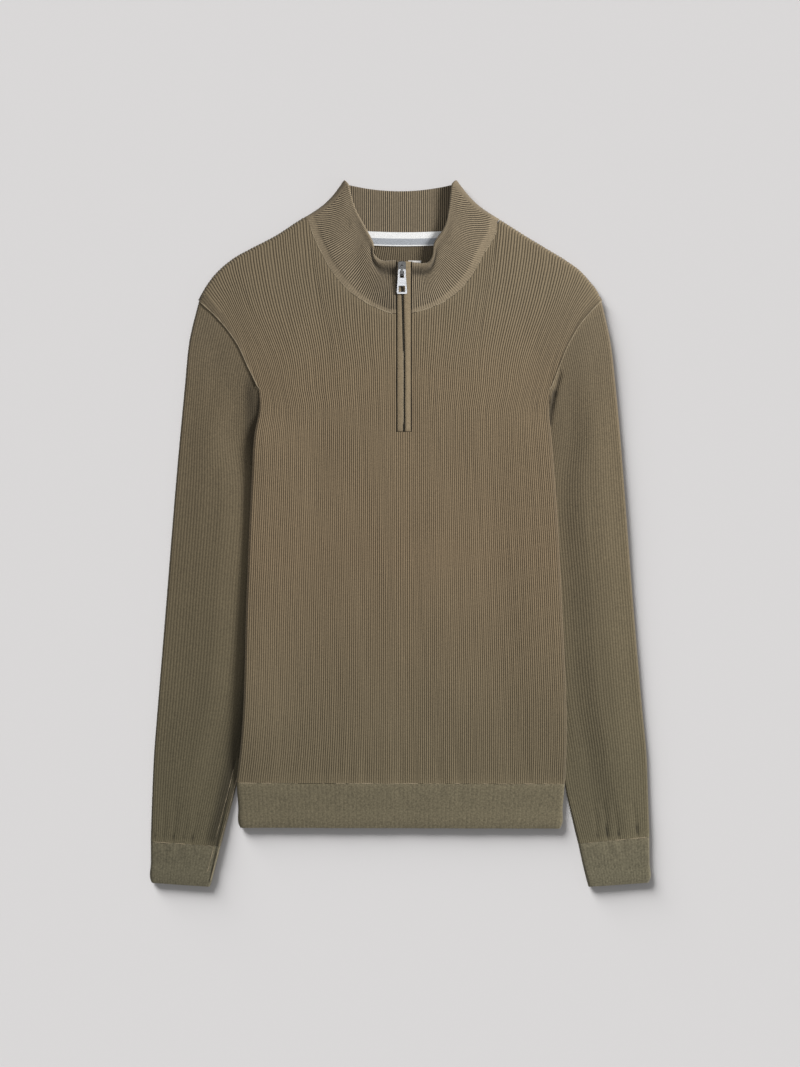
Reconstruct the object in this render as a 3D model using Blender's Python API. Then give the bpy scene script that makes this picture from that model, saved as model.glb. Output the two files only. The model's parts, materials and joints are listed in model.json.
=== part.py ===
"""Quarter zip sweater in fine rib knit, laid flat on its back.

Units in the tables are millimetres. X runs across the garment, Y towards the
neck and Z up from the surface that it lies on. The origin is the middle of the
garment's outline, at the level of that surface. Both sides of the body are
turned under, and each sleeve lies along the body with its inner edge under it.

Every cloth piece is a wall between an outer and an inner face. A face is a grid
of rows (across the piece) and columns (along its ribs). Columns are counted in
half ribs, so an odd column is the crest of a rib and an even one a valley.
"""
import math
from collections import namedtuple

import bmesh
import bpy
from mathutils import Vector

MM = 0.001
SHARP_ANGLE = math.radians(50.0)

# Cloth
GAP = 0.3            # space left at a seam
WALL = 1.6           # knitted wall under its ribs
RIB = 0.5            # how far a rib stands up from the wall
BAND_WALL = 1.8      # plain knit of hem band and cuffs
COLLAR_WALL = 3.0    # doubled rib of the collar

# Heights over the surface
CHEST_TOP = 7.4      # outer face of the front in the middle
BACK_MIDDLE = 2.5    # inner face of the back in the middle
FOLD_TOP = 7.0       # three layers at a turned side, lying on the surface
SLEEVE_TUCK = 4.3    # room under a turned side for the sleeve's inner edge
TUCKED_EDGE = 3.5    # height of the sleeve's inner edge in that room
TUCK_WIDTH = 22.0    # width of that room
TUCK_FALL = 30.0     # the side comes down to the surface over this width
HIDDEN_ROOM = 0.7    # between the back and the front in a turned side

# Body
UNDERARM_Y = 160.0
SLIT_BOTTOM_Y = 112.7
TUCK_LOW_Y = -246.0
SIDE_RETURN = (20.0, 32.0, 42.0, 52.0, 80.0)  # columns of the part turned under
EDGE_BLEND = 70.0    # width over which a side's height falls to the middle's

Edge = namedtuple("Edge", "y left right")
BODY_EDGE = (
    Edge(-280.4, -182.3, 182.9),
    Edge(-246.0, -177.9, 183.9),
    Edge(-60.0, -169.8, 178.2),
    Edge(112.7, -162.1, 168.0),
    Edge(160.0, -157.8, 170.4),
)
ARMHOLE = (
    Edge(160.0, -154.2, 166.8),
    Edge(184.0, -168.0, 175.9),
    Edge(214.0, -183.2, 188.8),
    Edge(239.0, -202.8, 204.8),
    Edge(255.6, -220.3, 220.3),
)
NECKLINE = (
    Edge(244.2, -10.8, 12.6),
    Edge(251.2, -28.4, 35.3),
    Edge(263.6, -49.7, 58.2),
    Edge(279.5, -67.0, 74.7),
    Edge(310.5, -87.2, 93.2),
    Edge(332.7, -97.5, 106.0),
    Edge(350.0, -104.4, 111.5),
)
Shoulder = namedtuple("Shoulder", "out left_y right_y")
SHOULDER = (
    Shoulder(100.0, 354.8, 354.2),
    Shoulder(113.0, 347.1, 346.8),
    Shoulder(138.0, 330.7, 331.0),
    Shoulder(164.0, 317.2, 315.3),
    Shoulder(186.0, 304.8, 301.8),
    Shoulder(199.0, 294.3, 292.3),
    Shoulder(211.0, 281.0, 279.0),
    Shoulder(220.0, 266.0, 266.5),
    Shoulder(223.2, 258.0, 258.0),
    Shoulder(226.0, 250.0, 250.0),
)
SHOULDER_RADIUS = 3.6
SHOULDER_LEAN = (0.5, 0.76)  # sideways part of the fold's direction, neck and armhole
HEM_TILT = 1.0       # the hem seam lies this much lower at the right side

# Ribs of the front, as half-rib columns from the left armhole to the right
SLIT_LEFT_COLUMN = 132
SLIT_RIGHT_COLUMN = 146
LAST_COLUMN = 280
NECK_LEFT_COLUMN = 71
NECK_RIGHT_COLUMN = 209
NECK_STEEP = 44
FOLD_COLUMNS = 10
RIBBED_TURN = 0.6      # share of a turned side or collar fold that shows its ribs
SLIT_LEFT_X = -4.7
SLIT_RIGHT_X = 12.5

# Sleeves
Station = namedtuple("Station", "outer_y outer_left outer_right inner_y inner_left inner_right height inner_height")
SLEEVE = (
    Station(214.0, -233.9, 233.2, 147.0, -160.6, 171.6, 7.6, 7.0),
    Station(166.0, -238.8, 238.9, 129.0, -162.0, 170.3, 7.8, 6.0),
    Station(118.0, -243.4, 243.4, 110.0, -163.7, 169.6, 7.8, TUCKED_EDGE),
    Station(58.0, -248.8, 248.2, 56.0, -144.5, 151.4, 7.8, TUCKED_EDGE),
    Station(-62.0, -258.5, 257.4, -62.0, -149.8, 158.2, 7.6, TUCKED_EDGE),
    Station(-190.0, -268.9, 268.2, -190.0, -160.4, 168.6, 7.4, TUCKED_EDGE),
    Station(-250.0, -273.6, 273.8, -244.0, -179.3, 185.3, 7.2, TUCKED_EDGE),
    Station(-342.0, -277.1, 276.9, -347.5, -199.6, 197.8, 6.8, 6.6),
)
SLEEVE_GAP = 0.45     # between the armhole's edge and the sleeve
ARMHOLE_AWAY = (0.8, -0.6)  # direction of that gap, out and up
UNDERARM_ROOM = 14.0   # the sleeve's first ring ends this far before the underarm
INNER_FLAT = 26.0     # the inner edge stays thin over this width
INNER_RISE = 30.0     # and rises to the sleeve's height over this one

Cuff = namedtuple("Cuff", "outer_y outer_left outer_right inner_y inner_left inner_right height")
CUFF = (
    Cuff(-342.4, -277.1, 276.9, -347.9, -199.7, 197.9, 6.8),
    Cuff(-365.0, -277.1, 277.1, -370.0, -205.2, 203.4, 6.8),
    Cuff(-385.0, -276.7, 277.0, -389.5, -210.6, 208.4, 6.6),
    Cuff(-387.6, -275.2, 274.8, -392.5, -211.8, 209.4, 5.2),
)

# Hem band
Hem = namedtuple("Hem", "y left right height")
HEM = (
    Hem(-280.8, -182.3, 182.9, 7.2),
    Hem(-304.0, -180.0, 180.7, 7.2),
    Hem(-324.0, -178.6, 178.9, 7.0),
    Hem(-327.0, -176.4, 176.6, 5.4),
)

# Collar: base seam and top edge, from the zip to the left or right fold
RingPoint = namedtuple("RingPoint", "share x y z")
COLLAR_TOP_LEFT = (
    RingPoint(0.00, -5.0, 302.6, 12.4),
    RingPoint(0.14, -21.6, 303.0, 12.8),
    RingPoint(0.24, -29.0, 309.6, 13.0),
    RingPoint(0.33, -29.8, 319.6, 13.2),
    RingPoint(0.50, -37.5, 336.5, 13.4),
    RingPoint(0.76, -50.6, 362.5, 13.8),
    RingPoint(1.00, -57.4, 387.6, 14.0),
)
COLLAR_TOP_RIGHT = (
    RingPoint(0.00, 12.9, 300.6, 12.2),
    RingPoint(0.16, 31.6, 301.0, 12.6),
    RingPoint(0.25, 36.4, 309.0, 12.8),
    RingPoint(0.34, 38.0, 320.6, 13.0),
    RingPoint(0.48, 47.5, 335.8, 13.2),
    RingPoint(0.74, 53.6, 358.0, 13.6),
    RingPoint(1.00, 57.6, 387.6, 14.0),
)
CollarRow = namedtuple("CollarRow", "height thickness")
COLLAR_ROWS = (
    CollarRow(0.0, 1.0),
    CollarRow(0.5, 1.0),
    CollarRow(0.95, 1.0),
    CollarRow(1.0, 0.45),
)
COLLAR_BASE_END = {"left": (-102.8, 348.4), "right": (108.8, 347.9)}
COLLAR_HALF = 112      # columns from the zip to a side fold
COLLAR_FOLD = 8        # columns round a side fold
COLLAR_BACK = 96       # columns across the back
FOLD_OUTWARD = (0.66, 0.75)
COLLAR_SIDE_BOW = 4.5  # the side folds bend in by this between base and tip
BOW_START = 0.6
BACK_NECK_Y = 325.8
BACK_NECK_RISE = 22.0
NECK_MIDDLE_X = 3.0
NECK_HALF = 105.8
BACK_TOP_Y = 380.6
BACK_TOP_RISE = 7.0
BACK_TOP_HALF = 57.5

# Zip
ZIP_TOP_Y = 301.6
ZIP_X_TOP = 1.9
ZIP_X_LOW = 4.2
ZIP_BEND_Y = (290.0, 200.0)
BAND_GAP = 1.0         # open slit between the two bands
BAND_HEIGHT = 2.5
BAND_EDGE = 0.55       # share of that height at a band's edges
BAND_END = 0.6         # and at its ends
BAND_PROUD = 0.9       # bands stand over the front by this
ZIP_TAPE = 0.8

# Slider and pull tab
SLIDER_LOW = -6.4      # lower and upper end, from the pull's axis
SLIDER_HIGH = 9.4
SLIDER_WIDTH = 8.8
SLIDER_THICK = 1.7
SLIDER_TAPER = 1.4     # each side is this much narrower at the lower end
SLIDER_FLARE = 5.0     # over this length
SLIDER_CORNER = 1.2
METAL_EDGE = 0.25      # bevel
AXIS_HEIGHT = 3.6      # of the pull's axis over the bands
BAIL_WIDTH = 2.0
BAIL_BAR = 1.1
BAIL_REACH = 5.5       # of the bail's legs, from the pull's axis
BAIL_TOP = 2.6         # of the bail over the pull's axis
BAIL_CORNER = 1.0
PULL_THICK = 1.4
PULL_DROOP = 4.5       # degrees that the pull leans down to the bands
PULL_AXIS_Y = 291.8

# Neck tape and label
TAPE_HALF_WIDTH = 47.0
TAPE_MIDDLE_X = 5.0
TAPE_STEPS = 12
TAPE_HEIGHT = 15.4
TAPE_LOW_Y = 319.2
TAPE_RISE = 1.5
TAPE_THICK = 0.8
TAPE_Z = 3.9
LABEL_SIZE = (14.4, 20.0)
LABEL_TOP = (15.9, 303.2)
LABEL_THICK = 0.5


def smooth(value):
    """0 below 0, 1 above 1, and an even S between them."""
    value = min(1.0, max(0.0, value))
    return value * value * (3.0 - 2.0 * value)


def mix(low, high, share):
    return low + (high - low) * share


def lookup(table, key, name, value):
    """Column `name` of a table where its column `key` has this value."""
    rows = sorted(table, key=lambda row: getattr(row, key))
    if value <= getattr(rows[0], key):
        return getattr(rows[0], name)
    for low, high in zip(rows, rows[1:]):
        if value <= getattr(high, key):
            share = (value - getattr(low, key)) / (getattr(high, key) - getattr(low, key))
            return mix(getattr(low, name), getattr(high, name), share)
    return getattr(rows[-1], name)


def zipper(bm, first, second):
    """Join two rows of (place, vertex), each in the order of its places."""
    i = 0
    j = 0
    while i < len(first) - 1 or j < len(second) - 1:
        first_middle = middle_of_step(first, i)
        second_middle = middle_of_step(second, j)
        if abs(first_middle - second_middle) < 1e-6 and first[i][0] == second[j][0]:
            split_quad(bm, first[i][1], first[i + 1][1], second[j + 1][1], second[j][1])
            i += 1
            j += 1
        elif first_middle < second_middle:
            bm.faces.new((first[i][1], first[i + 1][1], second[j][1]))
            i += 1
        else:
            bm.faces.new((first[i][1], second[j + 1][1], second[j][1]))
            j += 1


def middle_of_step(row, index):
    return (row[index][0] + row[index + 1][0]) / 2 if index < len(row) - 1 else math.inf


def split_quad(bm, a, b, c, d):
    """Two triangles, along the shorter diagonal."""
    if (a.co - c.co).length <= (b.co - d.co).length:
        bm.faces.new((a, b, c))
        bm.faces.new((a, c, d))
    else:
        bm.faces.new((a, b, d))
        bm.faces.new((b, c, d))


def only_in_one(first, second):
    """The stretches that exactly one of two lists of intervals covers."""
    ends = sorted({end for interval in first + second for end in interval})
    runs = []
    for low, high in zip(ends, ends[1:]):
        middle = (low + high) / 2
        in_first = any(a < middle < b for a, b in first)
        in_second = any(a < middle < b for a, b in second)
        if in_first != in_second:
            runs.append((low, high))
    return runs


class Cloth:
    """A wall between an outer face and an inner face over rows and columns.

    strips[r] lists the column intervals that exist between row r and row r + 1.
    columns(side, row) lists a face's columns, and point(side, row, column) is
    where one lies. side is 0 for the outer face and 1 for the inner one. A tube
    has round set: its last column is its first.
    """

    def __init__(self, name, strips, columns, point, round_column=None):
        self.bm = bmesh.new()
        self.strips = strips
        self.columns = columns
        self.point = point
        self.round_column = round_column
        self.vertices = {}
        for row, intervals in enumerate(strips):
            for interval in intervals:
                for side in (0, 1):
                    zipper(self.bm, self.line(side, row, interval), self.line(side, row + 1, interval))
                if round_column is None:
                    self.close_sides(row, interval)
        for row in range(len(strips) + 1):
            below = strips[row - 1] if row > 0 else []
            above = strips[row] if row < len(strips) else []
            for run in only_in_one(below, above):
                zipper(self.bm, self.line(0, row, run), self.line(1, row, run))
        finish(name, self.bm)

    def vertex(self, side, row, column):
        if self.round_column is not None:
            column = column % self.round_column
        key = (side, row, column)
        if key not in self.vertices:
            place = Vector(self.point(side, row, column)) * MM
            self.vertices[key] = self.bm.verts.new(place)
        return self.vertices[key]

    def line(self, side, row, interval):
        low, high = interval
        places = [column for column in self.columns(side, row) if low <= column <= high]
        return [(column, self.vertex(side, row, column)) for column in places]

    def close_sides(self, row, interval):
        for column in interval:
            corners = [self.vertex(0, row, column), self.vertex(0, row + 1, column)]
            corners += [self.vertex(1, row + 1, column), self.vertex(1, row, column)]
            self.bm.faces.new(corners)


def finish(name, bm):
    """Turn a bmesh in metres into a named object with its material."""
    bmesh.ops.recalc_face_normals(bm, faces=bm.faces[:])
    mesh = bpy.data.meshes.new(name)
    bm.to_mesh(mesh)
    bm.free()
    mesh.shade_smooth()
    mesh.set_sharp_from_angle(angle=SHARP_ANGLE)
    piece = bpy.data.objects.new(name, mesh)
    bpy.context.scene.collection.objects.link(piece)
    mesh.materials.append(material(name))
    return piece


# Colour, roughness and metallic value of each piece
Finish = namedtuple("Finish", "colour roughness metallic")
RIB_KNIT = Finish((0.184, 0.136, 0.086), 0.92, 0.0)
SLEEVE_KNIT = Finish((0.146, 0.115, 0.071), 0.92, 0.0)
PLAIN_KNIT = Finish((0.150, 0.124, 0.080), 0.9, 0.0)
COLLAR_KNIT = Finish((0.204, 0.166, 0.118), 0.92, 0.0)
BAND_KNIT = Finish((0.220, 0.170, 0.110), 0.85, 0.0)
FINISHES = {
    "front": RIB_KNIT,
    "back": RIB_KNIT,
    "sleeve_left": SLEEVE_KNIT,
    "sleeve_right": SLEEVE_KNIT,
    "cuff_left": PLAIN_KNIT,
    "cuff_right": PLAIN_KNIT,
    "hem_band": PLAIN_KNIT,
    "collar": COLLAR_KNIT,
    "placket_left": BAND_KNIT,
    "placket_right": BAND_KNIT,
    "zip_tape": Finish((0.10, 0.085, 0.06), 0.8, 0.0),
    "zip_slider": Finish((0.62, 0.62, 0.62), 0.28, 1.0),
    "bail_guide": Finish((0.62, 0.62, 0.62), 0.28, 1.0),
    "zip_pull": Finish((0.66, 0.66, 0.66), 0.25, 1.0),
    "neck_tape": Finish((0.80, 0.80, 0.80), 0.75, 0.0),
    "neck_label": Finish((0.78, 0.77, 0.75), 0.7, 0.0),
}


def material(name):
    values = FINISHES[name]
    made = bpy.data.materials.new(name)
    made.use_nodes = True
    shader = made.node_tree.nodes["Principled BSDF"]
    shader.inputs["Base Color"].default_value = (*values.colour, 1.0)
    shader.inputs["Roughness"].default_value = values.roughness
    shader.inputs["Metallic"].default_value = values.metallic
    return made


# ---------------------------------------------------------------- body

def tuck(y):
    """Share of the sleeve's room that a side has at this height: 0 or 1 or between."""
    if y > SLIT_BOTTOM_Y:
        return max(0.0, (UNDERARM_Y - y) / (UNDERARM_Y - SLIT_BOTTOM_Y))
    if y < TUCK_LOW_Y:
        return max(0.0, 1.0 - (TUCK_LOW_Y - y) / (TUCK_LOW_Y - BODY_EDGE[0].y))
    return 1.0


def side_base(distance, y):
    """Level that a side rests at, this far in from its folded edge."""
    near_edge = 1.0 - smooth((distance - TUCK_WIDTH) / TUCK_FALL)
    return SLEEVE_TUCK * tuck(y) * near_edge


def body_top(distance, y):
    """Outer face of the front, this far in from the nearer folded edge."""
    if y > UNDERARM_Y:
        return CHEST_TOP
    folded = SLEEVE_TUCK * tuck(y) + FOLD_TOP
    at_edge = mix(folded, CHEST_TOP, smooth((y - SLIT_BOTTOM_Y) / (UNDERARM_Y - SLIT_BOTTOM_Y)))
    return mix(at_edge, CHEST_TOP, smooth(distance / EDGE_BLEND))


def fold_radius(y):
    return (body_top(0.0, y) - side_base(0.0, y)) / 2.0


def panel_edge(side_name, y):
    """X where a side's folded edge or armhole seam is, at the level of the chest."""
    if y > UNDERARM_Y:
        return lookup(ARMHOLE, "y", side_name, y)
    inward = 1.0 if side_name == "left" else -1.0
    return lookup(BODY_EDGE, "y", side_name, y) + inward * fold_radius(y)


def column_x(column, y):
    """X of a rib of the front at height y."""
    if column <= SLIT_LEFT_COLUMN:
        return mix(panel_edge("left", y), SLIT_LEFT_X, column / SLIT_LEFT_COLUMN)
    if column <= SLIT_RIGHT_COLUMN:
        share = (column - SLIT_LEFT_COLUMN) / (SLIT_RIGHT_COLUMN - SLIT_LEFT_COLUMN)
        return mix(SLIT_LEFT_X, SLIT_RIGHT_X, share)
    share = (column - SLIT_RIGHT_COLUMN) / (LAST_COLUMN - SLIT_RIGHT_COLUMN)
    return mix(SLIT_RIGHT_X, panel_edge("right", y), share)


def shoulder_fold(x, turn):
    """Plan place and outward direction of the shoulder's fold beside x.

    turn is 0 where the front leaves its level and 1 at the outline.
    """
    out = abs(x)
    along_shoulder = (out - SHOULDER[0].out) / (SHOULDER[-1].out - SHOULDER[0].out)
    lean = mix(SHOULDER_LEAN[0], SHOULDER_LEAN[1], along_shoulder)
    outward = Vector((math.copysign(lean, x), math.sqrt(1.0 - lean * lean)))
    edge_x = x + outward.x * SHOULDER_RADIUS
    name = "left_y" if x < 0 else "right_y"
    edge = Vector((edge_x, lookup(SHOULDER, "out", name, abs(edge_x))))
    angle = turn * math.pi / 2
    return edge - outward * SHOULDER_RADIUS * (1.0 - math.sin(angle)), outward


def neckline_y(x):
    name = "left" if x < (NECKLINE[0].left + NECKLINE[0].right) / 2 else "right"
    return lookup(NECKLINE, name, "y", x)


def column_top(column):
    """Y where a rib of the front ends, at the shoulder's fold or the neckline."""
    x = column_x(column, ARMHOLE[-1].y)
    if column <= NECK_LEFT_COLUMN or column >= NECK_RIGHT_COLUMN:
        return shoulder_fold(x, 0.0)[0].y
    return neckline_y(x) - GAP


def edge_level(row):
    """Height of a row at the side's fold or at the armhole."""
    if row < len(BODY_EDGE):
        return BODY_EDGE[row].y
    return ARMHOLE[row - len(BODY_EDGE) + 1].y


def front_row_y(row, column):
    """Height of a row of the front at a column."""
    if row < len(BODY_EDGE):
        tilt = HEM_TILT * (column / LAST_COLUMN - 0.5)
        return BODY_EDGE[row].y - (tilt if row == 0 else 0.0)
    share = (edge_level(row) - UNDERARM_Y) / (ARMHOLE[-1].y - UNDERARM_Y)
    return mix(UNDERARM_Y, column_top(column), share)


LEVEL_ROWS = len(BODY_EDGE) + len(ARMHOLE) - 1
SHOULDER_TURNS = (0.5, 1.0)
RETURN_END = FOLD_COLUMNS + len(SIDE_RETURN)


def side_place(side_name, extra, y, depth):
    """Point round a folded side: extra counts columns from the level front."""
    inward = 1.0 if side_name == "left" else -1.0
    edge = lookup(BODY_EDGE, "y", side_name, y)
    radius = fold_radius(y)
    base = side_base(0.0, y)
    if extra <= FOLD_COLUMNS:
        angle = math.pi * extra / FOLD_COLUMNS
        reach = radius + depth
        x = radius - reach * math.sin(angle)
        return edge + inward * x, y, base + radius + reach * math.cos(angle)
    distance = SIDE_RETURN[extra - FOLD_COLUMNS - 1]
    return edge + inward * distance, y, side_base(distance, y) - depth


def front_point(side, row, column):
    """A point of the front's outer (0) or inner (1) face."""
    crest = RIB if column % 2 else 0.0
    if side == 1:
        crest = -WALL
    if column < 0 or column > LAST_COLUMN:
        name = "left" if column < 0 else "right"
        extra = -column if column < 0 else column - LAST_COLUMN
        if side == 0 and extra > RIBBED_TURN * FOLD_COLUMNS:
            crest = 0.0
        level_column = min(LAST_COLUMN, max(0, column))
        return side_place(name, extra, front_row_y(row, level_column), crest)
    if row > LEVEL_ROWS - 1:
        turn = SHOULDER_TURNS[row - LEVEL_ROWS]
        x = column_x(column, ARMHOLE[-1].y)
        plan, outward = shoulder_fold(x, turn)
        angle = turn * math.pi / 2
        plan = plan + outward * crest * math.sin(angle)
        z = CHEST_TOP - SHOULDER_RADIUS * (1.0 - math.cos(angle)) + crest * math.cos(angle)
        return plan.x, plan.y, z
    y = front_row_y(row, column)
    x = column_x(column, edge_level(row))
    distance = math.inf
    if y <= UNDERARM_Y:
        distance = min(x - lookup(BODY_EDGE, "y", "left", y), lookup(BODY_EDGE, "y", "right", y) - x)
        distance = max(0.0, distance - fold_radius(y))
    level = body_top(distance, y) if distance < math.inf else CHEST_TOP
    return x, y, level + crest


def front_columns(side, row):
    everything = range(-RETURN_END, LAST_COLUMN + RETURN_END + 1)
    if side == 0:
        return list(everything)
    fixed = {0, SLIT_LEFT_COLUMN, SLIT_RIGHT_COLUMN, LAST_COLUMN, NECK_LEFT_COLUMN, NECK_RIGHT_COLUMN}
    middle = {c for c in range(LAST_COLUMN) if c % 14 == 0}
    middle.add((SLIT_LEFT_COLUMN + SLIT_RIGHT_COLUMN) // 2)
    if row == 0 or row >= LEVEL_ROWS - 1:
        middle |= {c for c in range(LAST_COLUMN) if c % 8 == 0}
    if row == LEVEL_ROWS - 1:
        middle |= {c for c in range(NECK_LEFT_COLUMN + 1, NECK_RIGHT_COLUMN) if c % 4 == 0}
        middle |= {c for c in middle_steep() if c % 2 == 0}
    turns = [*range(3, FOLD_COLUMNS, 3), *range(FOLD_COLUMNS, RETURN_END + 1)]
    left = {-turn for turn in turns}
    right = {LAST_COLUMN + turn for turn in turns}
    return sorted(fixed | middle | left | right)


def middle_steep():
    """Columns that end on the steep parts of the neckline."""
    left = range(NECK_LEFT_COLUMN + 1, NECK_LEFT_COLUMN + NECK_STEEP)
    return [*left, *range(NECK_RIGHT_COLUMN - NECK_STEEP, NECK_RIGHT_COLUMN)]


def make_front():
    whole = [(-RETURN_END, LAST_COLUMN + RETURN_END)]
    slit = [(-RETURN_END, SLIT_LEFT_COLUMN), (SLIT_RIGHT_COLUMN, LAST_COLUMN + RETURN_END)]
    yoke = [(0, SLIT_LEFT_COLUMN), (SLIT_RIGHT_COLUMN, LAST_COLUMN)]
    shoulders = [(0, NECK_LEFT_COLUMN), (NECK_RIGHT_COLUMN, LAST_COLUMN)]
    strips = []
    for row in range(len(BODY_EDGE) - 1):
        strips.append(whole if BODY_EDGE[row].y < SLIT_BOTTOM_Y else slit)
    strips += [yoke] * (len(ARMHOLE) - 1)
    strips += [shoulders] * len(SHOULDER_TURNS)
    Cloth("front", strips, front_columns, front_point)


# The back's columns are counted in from its edges: over the turned sides, over
# the shoulders, and then across the neck
BACK_SIDE = tuple(width - FOLD_TOP / 2 for width in SIDE_RETURN) + (SIDE_RETURN[-1] + 4.0,)
SIDE_COLUMNS = len(BACK_SIDE) + 1
NECK_SPAN = 2.0
BACK_END = 2 * SIDE_COLUMNS + NECK_SPAN
NECK_STEPS = 12
NECK_RIBS = 54
NECK_RIB_WIDTH = 1.2
ARMHOLE_RISE = 20.0    # the back thickens from the armhole over this width
BACK_SETTLE = 26.0     # and comes down from the turned sides over this one


def back_neck_y(x):
    """The seam between back and collar."""
    return BACK_NECK_Y + BACK_NECK_RISE * ((x - NECK_MIDDLE_X) / NECK_HALF) ** 2


def back_inset(column):
    """Distance of a column of the back from the nearer edge, or None at the neck."""
    steps = min(column, BACK_END - column)
    if steps > SIDE_COLUMNS:
        return None
    if steps == SIDE_COLUMNS:
        return neck_inset("left" if column < BACK_END / 2 else "right")
    return 0.0 if steps < 1 else BACK_SIDE[int(steps) - 1]


def neck_inset(side_name):
    """Distance from the armhole's end to the neck point."""
    y = ARMHOLE[-1].y
    corner = NECK_LEFT_COLUMN if side_name == "left" else NECK_RIGHT_COLUMN
    return abs(panel_edge(side_name, y) - column_x(corner, y))


def back_x(column, y):
    left = panel_edge("left", y)
    right = panel_edge("right", y)
    inset = back_inset(column)
    if inset is None:
        share = (column - SIDE_COLUMNS) / NECK_SPAN
        return mix(left + neck_inset("left"), right - neck_inset("right"), share)
    return left + inset if column < BACK_END / 2 else right - inset


def back_row_y(row, column):
    if row < len(BODY_EDGE):
        return front_row_y(row, LAST_COLUMN * column / BACK_END)
    x = back_x(column, ARMHOLE[-1].y)
    if back_inset(column) is None:
        top = back_neck_y(x) - GAP
    else:
        top = shoulder_fold(x, 0.0)[0].y
    share = (edge_level(row) - UNDERARM_Y) / (ARMHOLE[-1].y - UNDERARM_Y)
    return mix(UNDERARM_Y, top, share)


def back_levels(column, y):
    """Underside and inner face of the back."""
    inset = back_inset(column)
    if inset is None:
        return 0.0, BACK_MIDDLE
    if y > UNDERARM_Y + 1.0:
        return 0.0, mix(WALL, BACK_MIDDLE, smooth(inset / ARMHOLE_RISE))
    distance = inset + fold_radius(y)
    over_return = inset < BACK_SIDE[-1]
    under = side_base(distance, y) + WALL + HIDDEN_ROOM if over_return else 0.0
    below_front = body_top(inset, y) - WALL - HIDDEN_ROOM
    return under, mix(below_front, BACK_MIDDLE, smooth((inset - BACK_SIDE[-1]) / BACK_SETTLE))


def back_point(side, row, column):
    if row > LEVEL_ROWS - 1:
        turn = SHOULDER_TURNS[row - LEVEL_ROWS]
        plan, outward = shoulder_fold(back_x(column, ARMHOLE[-1].y), turn)
        angle = turn * math.pi / 2
        depth = WALL if side else 0.0
        plan = plan - outward * depth * math.sin(angle)
        radius = SHOULDER_RADIUS - GAP / 2
        return plan.x, plan.y, radius * (1.0 - math.cos(angle)) + depth * math.cos(angle)
    y = back_row_y(row, column)
    x = back_x(column, edge_level(row))
    under, inner = back_levels(column, y)
    if side == 0:
        return x, y, under
    if row == LEVEL_ROWS - 1 and back_inset(column) is not None:
        inner = WALL
    if row >= LEVEL_ROWS - 2 and rib_index(column) % 2:
        inner += RIB
    return x, y, inner


def rib_step():
    """Columns of the back from one half rib at the neck to the next."""
    neck_width = back_x(BACK_END - SIDE_COLUMNS, ARMHOLE[-1].y) - back_x(SIDE_COLUMNS, ARMHOLE[-1].y)
    return NECK_SPAN * NECK_RIB_WIDTH / neck_width


def rib_index(column):
    """Half ribs from the first rib at the neck, 0 outside the ribs."""
    index = (column - BACK_END / 2) / rib_step() + NECK_RIBS / 2
    return round(index) if 0 < index < NECK_RIBS else 0


def back_columns(side, row):
    sides = [float(step) for step in range(SIDE_COLUMNS + 1)]
    sides += [BACK_END - step for step in range(SIDE_COLUMNS + 1)]
    neck = [SIDE_COLUMNS + NECK_SPAN * step / NECK_STEPS for step in range(1, NECK_STEPS)]
    if side == 1 and row in (LEVEL_ROWS - 2, LEVEL_ROWS - 1):
        reach = rib_step() * NECK_RIBS / 2
        neck = [column for column in neck if abs(column - BACK_END / 2) > reach + 0.02]
        middle = BACK_END / 2 - reach
        neck += [middle + rib_step() * index for index in range(NECK_RIBS + 1)]
    return sorted(sides + neck)


def make_back():
    whole = [(0.0, BACK_END)]
    shoulders = [(0.0, float(SIDE_COLUMNS)), (BACK_END - SIDE_COLUMNS, BACK_END)]
    strips = [whole] * (LEVEL_ROWS - 1) + [shoulders] * len(SHOULDER_TURNS)
    Cloth("back", strips, back_columns, back_point)


# ---------------------------------------------------------------- tubes

class Tube:
    """A flattened tube: outer fold, upper wall, inner fold and flat underside."""

    def __init__(self, fold, top, under, wall, rib):
        self.fold_end = fold
        self.top_end = fold + top
        self.inner_end = 2 * fold + top
        self.count = self.inner_end + under
        self.wall = wall
        self.rib = rib

    def section(self, side, column, width, height, inner_height, level=None):
        """Distance from the outer edge, and height, of a column of one ring."""
        outer = height / 2
        inner = inner_height / 2
        if column <= self.fold_end:
            angle = math.pi * (1.0 - column / self.fold_end)
            place = (outer - outer * math.sin(angle), outer + outer * math.cos(angle))
            normal = (-math.sin(angle), math.cos(angle))
        elif column < self.top_end:
            share = (column - self.fold_end) / (self.top_end - self.fold_end)
            reach = mix(outer, width - inner, share)
            place = (reach, level(width - reach) if level else mix(height, inner_height, share))
            normal = (0.0, 1.0)
        elif column <= self.inner_end:
            angle = math.pi * (column - self.top_end) / self.fold_end
            place = (width - inner + inner * math.sin(angle), inner + inner * math.cos(angle))
            normal = (math.sin(angle), math.cos(angle))
        else:
            share = (column - self.inner_end) / (self.count - self.inner_end)
            place = (mix(width - inner, outer, share), 0.0)
            normal = (0.0, -1.0)
        depth = -self.wall if side else 0.0
        if side == 0 and column % 2 and normal[1] > -0.3:
            depth = self.rib
        return place[0] + normal[0] * depth, place[1] + normal[1] * depth

    def columns(self, side, row):
        if side == 0:
            return list(range(self.count + 1))
        folds = {0, self.fold_end // 2, self.fold_end}
        folds |= {self.top_end, (self.top_end + self.inner_end) // 2, self.inner_end}
        top = {c for c in range(self.fold_end, self.top_end) if (c - self.fold_end) % 7 == 0}
        under = {(self.inner_end + self.count) // 2, self.count}
        return sorted(folds | top | under)

    def make(self, name, rows, point):
        strips = [[(0, self.count)]] * (rows - 1)
        Cloth(name, strips, self.columns, point, round_column=self.count)


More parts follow.
